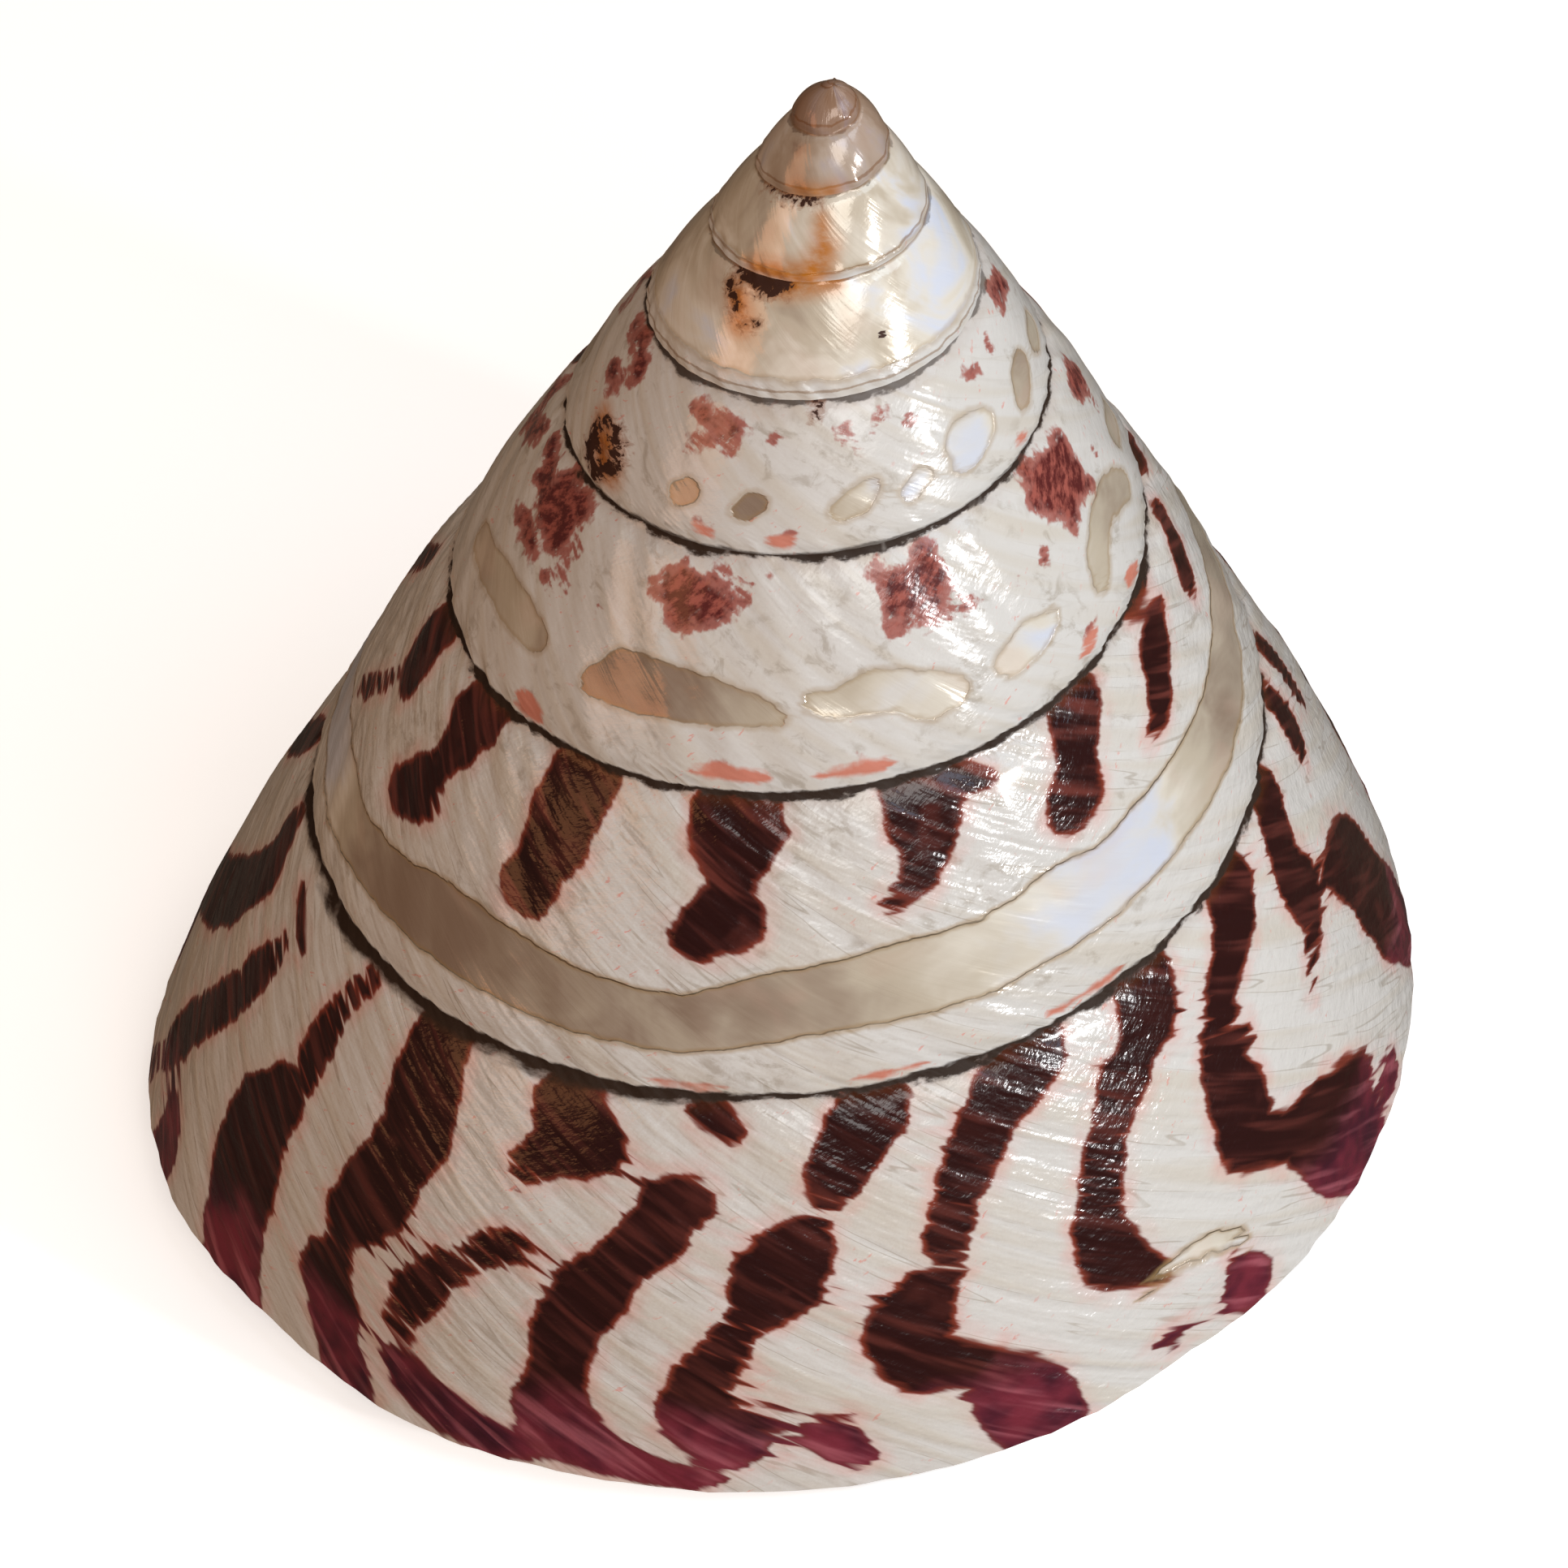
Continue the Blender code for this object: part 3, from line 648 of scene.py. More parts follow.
@dataclass(frozen=True)
class Relief:
    """Low relief of the side. A mound is a turn, a share, a reach and a height."""

    seam_depth: float = 0.46
    seam_width: float = 0.9
    wave: float = 0.064
    pearl_flat: float = 0.10
    chipping: float = 0.20
    chip_reach: float = 0.8
    full_size: float = 20.0
    mounds: Table = (
        (5.181, 0.72, 1.7, 0.55), (5.184, 0.76, 0.55, -0.8), (7.888, 0.83, 2.2, 0.45),
    )

    def lift(self, spiral: Spiral, turn: np.ndarray, share: np.ndarray, pearl: np.ndarray) -> np.ndarray:
        """Height of the surface over the plain side.

        Args:
            spiral: The growth law.
            turn: Turns of the points.
            share: Shares of the points.
            pearl: Depth inside the pearl.

        Returns:
            Heights along the normal.
        """
        radius, tall = spiral.seam_radius(turn + 0.5), spiral.tall(turn)
        size = np.clip(tall / self.full_size, 0.30, 1.0)
        upper, lower = share * tall, (1.0 - share) * tall
        mouth_turn = spiral.lip_turn - 1.0
        covered = 1.0 - smooth(turn, mouth_turn - 0.02, mouth_turn + 0.02)
        groove = bell(upper, self.seam_width * size)
        groove += 0.6 * covered * bell(lower, self.seam_width * 0.7 * size)
        arc = TURN_ANGLE * radius * (turn + spiral.lip_lag * share)
        waves = np.sin(arc / 2.9 + 2.0 * np.sin(arc / 11.0)) + 0.8 * np.sin(arc / 1.7 + share * 5.0)
        waves += 0.8 * np.sin(upper / 1.6 + 1.7 * np.sin(arc / 9.0))
        chips = np.sin(arc / 0.9 + 3.0 * np.sin(arc / 5.3))
        chips += np.sin(arc / 0.47 + 2.0 * np.sin(arc / 3.1))
        lift = -self.seam_depth * size * groove
        lift += self.wave * size * waves * smooth(tall, 4.0, 16.0)
        lift -= self.pearl_flat * size * smooth(pearl, -0.2, 0.5)
        lift += self.chipping * size * chips * bell(lower, self.chip_reach) * covered
        for mound_turn, mound_share, reach, height in self.mounds:
            along = (turn - mound_turn) * TURN_ANGLE * radius
            lift += height * bell(np.hypot(along, (share - mound_share) * tall), reach)
        out = spiral.seam_radius(turn + 1.0) * share + spiral.seam_radius(turn) * (1.0 - share)
        return lift * smooth(out, 0.6, 2.0)


@dataclass(frozen=True)
class Dent:
    """A shallow hollow in the outer edge: where it is, its reach and its depth."""

    turn: float
    share: float
    reach: float
    depth: float

    def press(self, spiral: Spiral, points: np.ndarray) -> None:
        """Push points near the dent towards the axis.

        Args:
            spiral: The growth law that places the dent.
            points: Places, changed here.
        """
        centre = spiral.side(np.array(self.turn), np.array(self.share))
        weight = self.depth * bell(np.linalg.norm(points - centre, axis=1), self.reach)
        across = np.hypot(points[:, 0], points[:, 1]) + 1e-6
        points[:, :2] -= points[:, :2] * (weight / across)[:, None]


class GrowingMesh:
    """A mesh whose vertices know their place on the spiral while it grows."""

    marks = {**dict.fromkeys(("step", "row", "rim", "skin"), "int"), "turn": "float", "share": "float"}

    def __init__(self) -> None:
        """Make an empty mesh with a vertex layer for each mark."""
        self.mesh = bmesh.new()
        layers = self.mesh.verts.layers
        for name, kind in self.marks.items():
            getattr(layers, kind).new(name)
        self.step, self.row, self.rim, self.skin, self.turn, self.share = (
            getattr(layers, kind)[name] for name, kind in self.marks.items()
        )

    def extrude(self, edges: Edges) -> tuple[Edges, set[bmesh.types.BMVert]]:
        """Extrude a chain of edges.

        Args:
            edges: The chain.

        Returns:
            The new chain and its vertices.
        """
        result = bmesh.ops.extrude_edge_only(self.mesh, edges=edges)
        verts = {item for item in result["geom"] if isinstance(item, bmesh.types.BMVert)}
        near = {edge for vert in verts for edge in vert.link_edges}
        return [edge for edge in near if all(vert in verts for vert in edge.verts)], verts

    def on_side(self, row: int) -> dict[int, bmesh.types.BMVert]:
        """Vertices of one row of the side, by step."""
        side = (vert for vert in self.mesh.verts if vert[self.skin] == Skin.SIDE.value)
        return {vert[self.step]: vert for vert in side if vert[self.row] == row}

    def read(self, mark: bmesh.types.BMLayerItem) -> np.ndarray:
        """Read one mark of every vertex."""
        return np.array([vert[mark] for vert in self.mesh.verts])


@dataclass
class ShellForm:
    """The fine mesh of the shell, made along the spiral.

    A row of the funnel is a radius and a height over the column's lower edge.
    """

    spiral: Spiral
    resting: Resting
    markings: Markings
    relief: Relief = field(default_factory=Relief)
    dents: tuple[Dent, ...] = (
        Dent(8.150, 1.0, 15.0, 1.5), Dent(8.060, 1.0, 8.0, 0.5), Dent(7.900, 1.0, 6.0, 0.4),
    )
    steps_per_turn: int = 240
    side_rows: int = 26
    base_rows: int = 40
    row_crowding: float = 1.12
    cord_height: float = 0.16
    cord_pitch: float = 46.0
    cord_middle: float = 0.36
    cord_spread: float = 0.10
    base_weld: float = 0.002
    funnel_rows: Table = (
        (8.4, -0.35), (7.8, -0.50), (7.2, -0.45), (6.5, 0.10), (5.9, 0.90), (5.4, 2.10),
        (4.9, 4.00), (4.1, 6.30), (3.1, 8.30), (1.8, 9.80), (0.0, 10.5),
    )
    lip_rings: Table = ((-0.0006, 0.63), (0.0, 1.35), (0.002, 1.98), (0.006, 2.7))
    hollow_start: float = 0.012
    hollow_turns: float = 0.5
    hollow_rings: int = 66
    closing_rings: int = 14
    hollow_wall: float = 3.6
    column_wall: float = 6.0
    inner_wall: float = 1.2
    column_reach: float = 26.0
    shrink_across: float = 1.378
    shrink_down: float = 1.459
    sharp_degrees: float = 55.0
    seam_weld: float = 4e-7
    base_reach: float = 27.0
    growth_unit: float = 0.34

    @property
    def seam_steps(self) -> int:
        """Steps from a lower edge to the upper edge that it meets."""
        return round((1.0 - self.spiral.lip_lag) * self.steps_per_turn)

    @property
    def last_step(self) -> int:
        """Step of the lip, counted from the first turn."""
        return round((self.spiral.lip_turn - self.spiral.tip_turn) * self.steps_per_turn)

    @property
    def free_step(self) -> int:
        """Step at which the lower edge of the last turn becomes free."""
        return self.last_step - self.seam_steps

    def build(self) -> bpy.types.Object:
        """Build the fine shell.

        Returns:
            The finished object, in metres.
        """
        grown = GrowingMesh()
        self.extrude_side(grown)
        self.extrude_base(grown)
        corner = grown.on_side(self.side_rows)[self.free_step]
        lip_corner = grown.on_side(0)[self.last_step]
        bmesh.ops.weld_verts(grown.mesh, targetmap={lip_corner: corner})
        self.sink_hollow(grown)
        return self.finish(grown)

    def extrude_side(self, grown: GrowingMesh) -> None:
        """Extrude the side down from its upper seam, row by row.

        Args:
            grown: The mesh to add to.
        """
        shares = np.linspace(0.0, 1.0, self.side_rows + 1)
        steps = np.arange(-self.seam_steps, self.last_step + 1)
        grid_step, grid_share = np.meshgrid(steps, shares, indexing="ij")
        turns = self.spiral.tip_turn + grid_step / self.steps_per_turn - self.spiral.lip_lag * grid_share
        points = self.spiral.side(turns, grid_share)
        points[0] = (0.0, 0.0, float(self.spiral.seam_height(np.array(0.0))))
        verts = [grown.mesh.verts.new(place) for place in points[:, 0]]
        for at, vert in enumerate(verts):
            vert[grown.step], vert[grown.turn] = int(steps[at]), turns[at, 0]
        edges = [grown.mesh.edges.new(pair) for pair in zip(verts, verts[1:])]
        for row in range(1, self.side_rows + 1):
            edges, fresh = grown.extrude(edges)
            for vert in fresh:
                at = vert[grown.step] + self.seam_steps
                vert.co, vert[grown.turn] = points[at, row], turns[at, row]
                vert[grown.row], vert[grown.share] = row, shares[row]

    def extrude_base(self, grown: GrowingMesh) -> None:
        """Extrude the base inwards from the free lower edge, down to the funnel.

        Args:
            grown: The mesh to add to.
        """
        first, column = self.free_step, self.spiral.column_share
        edges = [
            edge
            for edge in grown.mesh.edges
            if all(v[grown.row] == self.side_rows and v[grown.step] >= first for v in edge.verts)
        ]
        progress = np.linspace(0.0, 1.0, self.last_step - first + 1)
        rows: list[tuple[float, np.ndarray]] = []
        for share in np.linspace(0.0, 1.0, self.base_rows + 1)[1:] ** self.row_crowding * column:
            places = self.spiral.base(progress, float(share))
            fade = math.exp(-((share - self.cord_middle) ** 2) / self.cord_spread)
            cord = math.sin(share * self.cord_pitch) * fade
            places[:, 2] -= self.cord_height * cord * min(1.0, share * 12.0)
            rows.append((float(share), places))
        middle_turn = self.spiral.base_turn(progress, column)
        for radius, rise in self.funnel_rows:
            places = self.spiral.place(middle_turn, radius, rise - self.spiral.column_drop)
            rows.append((1.0 - radius / 60.0, places))
        for share, places in rows:
            turns = self.spiral.base_turn(progress, min(share, column))
            edges, fresh = grown.extrude(edges)
            for vert in fresh:
                at = vert[grown.step] - first
                vert.co, vert[grown.turn] = places[at], turns[at]
                vert[grown.share], vert[grown.skin] = share, Skin.BASE.value
        ring = {vert for edge in edges for vert in edge.verts}
        middle = sorted(ring, key=lambda vert: vert[grown.step])
        bmesh.ops.weld_verts(grown.mesh, targetmap={vert: middle[0] for vert in middle[1:]})
        based = [vert for vert in grown.mesh.verts if vert[grown.skin] == Skin.BASE.value]
        bmesh.ops.remove_doubles(grown.mesh, verts=based, dist=self.base_weld)

    def sink_hollow(self, grown: GrowingMesh) -> None:
        """Extrude the edge of the mouth back into the last turn.

        Args:
            grown: The mesh to add to.
        """
        last, first = self.last_step, self.free_step

        def on_mouth(vert: bmesh.types.BMVert) -> bool:
            """Tell whether a vertex lies on the lip or the mouth's inner edge."""
            low = vert[grown.skin] == Skin.BASE.value or vert[grown.row] == self.side_rows
            return vert[grown.step] == last or (vert[grown.step] == first and low)

        edges = [e for e in grown.mesh.edges if e.is_boundary and all(on_mouth(v) for v in e.verts)]
        rim_verts = list({vert for edge in edges for vert in edge.verts})
        for at, vert in enumerate(rim_verts):
            vert[grown.rim] = at
        rim = np.array([vert.co[:] for vert in rim_verts])
        inner = np.array([vert[grown.step] == first for vert in rim_verts])
        ends = np.array([[vert[grown.rim] for vert in edge.verts] for edge in edges])
        start, stop = rim[ends[:, 0]], rim[ends[:, 1]]
        lengths = np.linalg.norm(start - stop, axis=1)
        centre = ((start + stop) / 2.0 * lengths[:, None]).sum(0) / lengths.sum()
        inward = (centre - rim) / np.linalg.norm(centre - rim, axis=1)[:, None]
        column = 1.0 - smooth(np.hypot(rim[:, 0], rim[:, 1]), self.spiral.column_radius, self.column_reach)

        def ring(turns: float, wall: float, closing: float) -> np.ndarray:
            """Place the rim some turns back, behind a wall, and partly closed."""
            side = np.where(inner, self.inner_wall, wall)
            place = rim + inward * (side + (self.column_wall - side) * column)[:, None]
            place = place + (centre - place) * closing
            back = np.array(Matrix.Rotation(TURN_ANGLE * turns, 3, "Z"))
            across, down = self.shrink_across**-turns, self.shrink_down**-turns
            return place @ back.T * (across, across, down)

        rings = [(*row, 0.0) for row in self.lip_rings]
        rings.append((self.hollow_start, self.hollow_wall, 0.0))
        for step in range(1, self.hollow_rings + 1):
            closing = max(0.0, (step - self.hollow_rings + self.closing_rings) / self.closing_rings)
            turns = self.hollow_start + self.hollow_turns * step / self.hollow_rings
            rings.append((turns, self.hollow_wall, 0.8 * closing**2))
        for turns, wall, closing in rings:
            places = ring(turns, wall, closing)
            edges, fresh = grown.extrude(edges)
            for vert in fresh:
                vert.co, vert[grown.skin] = places[vert[grown.rim]], Skin.HOLLOW.value
                vert[grown.turn], vert[grown.share] = self.spiral.lip_turn - turns, turns
        bmesh.ops.edgeloop_fill(grown.mesh, edges=edges)

    def finish(self, grown: GrowingMesh) -> bpy.types.Object:
        """Carve the relief, store the fields, weld the seams and lay the shell down.

        Args:
            grown: The fine mesh in the spiral's own frame.

        Returns:
            The finished object, in metres.
        """
        mesh = grown.mesh
        bmesh.ops.recalc_face_normals(mesh, faces=mesh.faces[:])
        points = np.array([vert.co[:] for vert in mesh.verts])
        turn, share, skin = (grown.read(mark) for mark in (grown.turn, grown.share, grown.skin))
        fields = self.fields(points, turn, share, skin)
        side = skin == Skin.SIDE.value
        t, s = turn[side], share[side]
        lift = self.relief.lift(self.spiral, t, s, fields["pearl_depth"][side])
        points[side] += self.spiral.side_normals(t, s) * lift[:, None]
        self.meet_at_seams(grown, points)
        for dent in self.dents:
            dent.press(self.spiral, points)
        rest = np.array(self.resting.matrix())
        points = points @ rest[:3, :3].T + rest[:3, 3]
        points[:, 2] = np.maximum(points[:, 2], 0.0)
        for vert, place in zip(mesh.verts, points * MM):
            vert.co = place
        data = bpy.data.meshes.new("shell_fine")
        mesh.to_mesh(data)
        for name in grown.marks:
            data.attributes.remove(data.attributes[name])
        for name, values in fields.items():
            store(data, name, values)
        mesh.clear()
        mesh.free()
        welded = bmesh.new()
        welded.from_mesh(data)
        bmesh.ops.remove_doubles(welded, verts=welded.verts[:], dist=self.seam_weld)
        bmesh.ops.triangulate(welded, faces=[face for face in welded.faces if len(face.verts) > 4])
        bmesh.ops.recalc_face_normals(welded, faces=welded.faces[:])
        open_edges = sum(1 for edge in welded.edges if not edge.is_manifold)
        welded.to_mesh(data)
        welded.free()
        data.shade_smooth()
        data.set_sharp_from_angle(angle=math.radians(self.sharp_degrees))
        LOG.info("fine shell: %d faces, %d open edges", len(data.polygons), open_edges)
        return bpy.data.objects.new("shell_fine", data)

    def meet_at_seams(self, grown: GrowingMesh, points: np.ndarray) -> None:
        """Bring the two edges that meet in each seam to the same places.

        Args:
            grown: The mesh.
            points: Places of its vertices, changed here.
        """
        grown.mesh.verts.index_update()
        upper = grown.on_side(0)
        for step, vert in grown.on_side(self.side_rows).items():
            other = upper.get(step + self.seam_steps)
            if other is not None:
                pair = [vert.index, other.index]
                points[pair] = points[pair].mean(axis=0)

    def fields(
        self, points: np.ndarray, turn: np.ndarray, share: np.ndarray, skin: np.ndarray
    ) -> dict[str, np.ndarray]:
        """Surface fields that the material reads.

        Args:
            points: Places of the vertices.
            turn: Their turns.
            share: Their shares.
            skin: Which part each belongs to.

        Returns:
            Arrays of values or vectors by name.
        """
        side, under, hollow = (skin == part.value for part in Skin)
        t, s = turn[side], share[side]
        marks, spiral = self.markings, self.spiral
        radius, tall = spiral.seam_radius(t + 0.5), spiral.tall(t)
        arc = TURN_ANGLE * radius / self.growth_unit
        axis_distance = np.hypot(points[:, 0], points[:, 1])

        def spread(values: np.ndarray, elsewhere: np.ndarray | float = OUTSIDE) -> np.ndarray:
            """Give values to the side, and others elsewhere."""
            result = np.full(len(turn), elsewhere) if np.isscalar(elsewhere) else elsewhere.copy()
            result[side] = values
            return result

        flames = FLAMES + marks.hidden_flames()
        flame_depth = spread(marks.depth(flames, t, s))
        beyond = 1.0 + share[under] * spiral.seam_radius(turn[under] + 1.0) / self.base_reach
        flame_depth[under] = marks.depth(flames, turn[under], beyond)
        windows = marks.depth(PEARL + marks.hidden_pearl(), t, s)
        worn = np.maximum(marks.band_depth(t, s), marks.worn_top(t, s))
        pearl_depth = spread(np.maximum(windows, worn))
        pearl_depth[hollow] = DEEP_IN_PEARL
        dots = tuple(((dot, at, size), (dot + 0.0005, at, size)) for dot, at, size in SPECKS)
        growth = arc + TURN_ANGLE * radius * spiral.lip_lag * s
        return {
            "flame_depth": flame_depth,
            "pearl_depth": pearl_depth,
            "blotch_depth": spread(marks.depth(BLOTCHES + marks.hidden_blotches(), t, s)),
            "stain_depth": spread(marks.depth(STAINS, t, s)),
            "amber_depth": spread(marks.depth(AMBER, t, s)),
            "speck_depth": spread(marks.depth(dots, t, s)),
            "below_seam": spread(s * tall, NO_SEAM_NEAR),
            "above_seam": spread((1.0 - s) * tall, NO_SEAM_NEAR),
            "skin_place": spread(np.stack([arc, s * tall, 0.0 * s], axis=1), points),
            "growth": spread(growth, axis_distance * 0.3 + turn * 130.0),
            "whorl": np.where(hollow, 8.4, turn),
            "share_of_turn": np.where(side, share, np.where(under, 1.0, 0.5)),
            # Painted highlight and shade of the pearl, partly its own tone.
            "pearl_sheen_and_shade": marks.pearl_sheen_and_shade(turn),
            "on_base": under.astype(float),
            "from_axis": axis_distance,
        }


def store(data: bpy.types.Mesh, name: str, values: np.ndarray) -> None:
    """Write values or vectors to the corners of a mesh.

    The two sides of a seam keep their own values there.

    Args:
        data: The mesh.
        name: The attribute's name.
        values: One value or vector for each vertex.
    """
    kind, key = ("FLOAT_VECTOR", "vector") if values.ndim == 2 else ("FLOAT", "value")
    corners = np.empty(len(data.loops), dtype=np.int32)
    data.loops.foreach_get("vertex_index", corners)
    item = data.attributes.new(name, kind, "CORNER")
    item.data.foreach_set(key, np.ascontiguousarray(values[corners], dtype=np.float32).ravel())


Plain = float | tuple[float, ...]


class Wire:
    """An output in a node tree that can be reckoned with like a number."""

    def __init__(self, kit: NodeKit, socket: bpy.types.NodeSocket) -> None:
        self.kit, self.socket = kit, socket

    def __add__(self, other: Wire | float) -> Wire:
        """Add."""
        return self.kit.math("ADD", self, other)

    def __sub__(self, other: Wire | float) -> Wire:
        """Take away."""
        return self.kit.math("SUBTRACT", self, other)

    def __rsub__(self, other: float) -> Wire:
        """Take away from a number."""
        return self.kit.math("SUBTRACT", other, self)

    def __mul__(self, other: Wire | float) -> Wire:
        """Multiply."""
        return self.kit.math("MULTIPLY", self, other)

    def __abs__(self) -> Wire:
        """Drop the sign."""
        return self.kit.math("ABSOLUTE", self)

    def top(self, other: Wire) -> Wire:
        """Take the larger of two."""
        return self.kit.math("MAXIMUM", self, other)

    def step(self, low: Wire | float, high: Wire | float, bottom: float = 0.0, top: float = 1.0) -> Wire:
        """Smooth step between two limits."""
        given = {"Value": self, "From Min": low, "From Max": high, "To Min": bottom, "To Max": top}
        return self.kit.node("MapRange", given, interpolation_type="SMOOTHSTEP")


class NodeKit:
    """Short ways to place and join nodes in one tree."""

    def __init__(self, tree: bpy.types.NodeTree) -> None:
        """Keep the tree that the nodes go into."""
        self.tree = tree

    def join(self, value: Wire | Plain, socket: bpy.types.NodeSocket) -> None:
        """Link a wire to an input, or set the input's own value."""
        if isinstance(value, Wire):
            self.tree.links.new(value.socket, socket)
        else:
            socket.default_value = value

    def node(self, kind: str, given: dict, output: int | str = 0, **options: object) -> Wire:
        """Place a node and join its inputs.

        Args:
            kind: The node's kind, without its usual prefix.
            given: Wires or values by the name or number of the input.
            output: The output to return.
            **options: Settings of the node.

        Returns:
            The output.
        """
        node = self.tree.nodes.new("ShaderNode" + kind)
        for name, option in options.items():
            setattr(node, name, option)
        for name, value in given.items():
            self.join(value, node.inputs[name])
        return Wire(self, node.outputs[output])

    def math(self, operation: str, *values: Wire | float) -> Wire:
        """Place a math node."""
        return self.node("Math", dict(enumerate(values)), operation=operation)

    def attribute(self, name: str, output: str = "Fac") -> Wire:
        """Read a mesh attribute."""
        return self.node("Attribute", {}, output, attribute_name=name)

    def mix(self, share: Wire, first: Wire | Rgba, second: Wire | Rgba) -> Wire:
        """Mix two colours."""
        return self.node("Mix", {0: share, 6: first, 7: second}, 2, data_type="RGBA")

    def pack(self, x: Wire, y: Wire, z: Wire | float) -> Wire:
        """Make a vector from three values."""
        return self.node("CombineXYZ", {0: x, 1: y, 2: z})

    def split(self, vector: Wire) -> list[Wire]:
        """Take a vector apart."""
        first = self.node("SeparateXYZ", {0: vector})
        return [Wire(self, socket) for socket in first.socket.node.outputs]

    def noise(self, vector: Wire, detail: float = 3.0, rough: float = 0.5, bend: float = 0.0) -> Wire:
        """Cloudy noise from 0 to 1 at a scale of one."""
        given = {"Vector": vector, "Scale": 1.0, "Detail": detail, "Roughness": rough, "Distortion": bend}
        return self.node("TexNoise", given, "Fac")

    def clouds(
        self, place: Wire, scale: tuple[float, float], turn: float = 0.0,
        detail: float = 3.0, rough: float = 0.5, bend: float = 0.0,
    ) -> Wire:
        """Cloudy noise over the skin.

        Args:
            place: Where each point lies on the skin.
            scale: How finely the noise runs along and down the skin.
            turn: Angle by which the noise is turned, in radians.
            detail: Octaves of the noise.
            rough: How much the fine octaves count.
            bend: How much the noise is distorted.

        Returns:
            Values from 0 to 1.
        """
        turned = self.node("VectorRotate", {"Vector": place, "Angle": turn}, rotation_type="Z_AXIS")
        scaled = self.node("VectorMath", {0: turned, 1: (*scale, 1.0)}, operation="MULTIPLY")
        return self.noise(scaled, detail, rough, bend)

    def use(self, group: SurfaceGroup, **given: Wire | float) -> dict[str, Wire]:
        """Place a node group, join its inputs and return its outputs by name."""
        first = self.node("Group", given, node_tree=group.tree)
        return {socket.name: Wire(self, socket) for socket in first.socket.node.outputs}


class SurfaceGroup:
    """A node group that is given the place on the skin and its growth."""

    def __init__(self, name: str, **numbers: float) -> None:
        """Make the group, with further inputs and their usual numbers."""
        self.tree = bpy.data.node_groups.new(name, "ShaderNodeTree")
        sockets = self.tree.interface
        sockets.new_socket(name="Place", in_out="INPUT", socket_type="NodeSocketVector")
        for label, number in {"Growth": 0.0, **numbers}.items():
            item = sockets.new_socket(name=label, in_out="INPUT", socket_type="NodeSocketFloat")
            item.default_value = number
        self.kit = NodeKit(self.tree)
        inner = self.tree.nodes.new("NodeGroupInput")
        self.given = {socket.name: Wire(self.kit, socket) for socket in inner.outputs if socket.name}
        self.place, self.growth = self.given["Place"], self.given["Growth"]
        _, self.down, self.layer = self.kit.split(self.place)

    def lines(self, along: float, down: float, layer: Wire | float, *noise: float) -> Wire:
        """Noise drawn out into lines along the growth of the shell."""
        return self.kit.noise(self.kit.pack(self.growth * along, self.down * down, layer), *noise)

    def give(self, **outputs: Wire) -> SurfaceGroup:
        """Join the outputs of the group.

        Args:
            **outputs: Wires by name; one named Color holds a colour.

        Returns:
            The group itself.
        """
        for label in outputs:
            kind = "NodeSocketColor" if label == "Color" else "NodeSocketFloat"
            self.tree.interface.new_socket(name=label, in_out="OUTPUT", socket_type=kind)
        outer = self.tree.nodes.new("NodeGroupOutput")
        for label, wire in outputs.items():
            self.kit.join(wire, outer.inputs[label])
        return self


@dataclass(frozen=True)
class RaggedEdge:
    """Group that frays the edge of a mark along the brushing of the surface."""

    def build(self) -> SurfaceGroup:
        """Build the group: depth and place in, frayed depth and masks out."""
        group = SurfaceGroup("ragged_edge", Depth=0.0, Run=0.2, Fray=1.0, Fringe=0.5, Softness=0.12)
        kit, given = group.kit, group.given
        soft, along = given["Softness"], group.down * given["Run"]
        teeth = kit.noise(kit.pack(group.growth * 0.42, along, 0.0), 2.0, 0.6)
        fine = kit.noise(kit.pack(group.growth * 1.6, along * 2.6, 4.0), 2.0, 0.65)
        slow = kit.clouds(group.place, (0.35, 0.35), detail=1.0)
        push = (teeth - 0.5) * 2.1 + (fine - 0.5) * 0.7 + (slow - 0.5)
        frayed = push * given["Fray"] + given["Depth"]
        return group.give(
            Frayed=frayed,
            Edge=frayed.step(soft * -1.0, soft),
            Core=(frayed - given["Fringe"]).step(soft * -2.0, soft * 2.0),
            Strength=slow.step(0.40, 0.62, 0.35, 1.0),
        )


@dataclass(frozen=True)
class GrowthGrain:
    """Group of fine lines: growth lines, and the brushing of the polish."""

    def build(self) -> SurfaceGroup:
        """Build the group: place and growth in, streak values out."""
        group = SurfaceGroup("growth_grain")
        return group.give(
            Lines=group.lines(0.95, 0.09, group.layer, 2.5, 0.55, 0.3),
            Folds=group.lines(0.42, 0.07, group.layer, 1.0, 0.5, 0.5),
            Brushed=group.lines(0.55, 0.17, 7.0, 2.0, 0.55, 0.3),
            Clouds=group.kit.clouds(group.place, (0.16, 0.16), rough=0.55),
        )


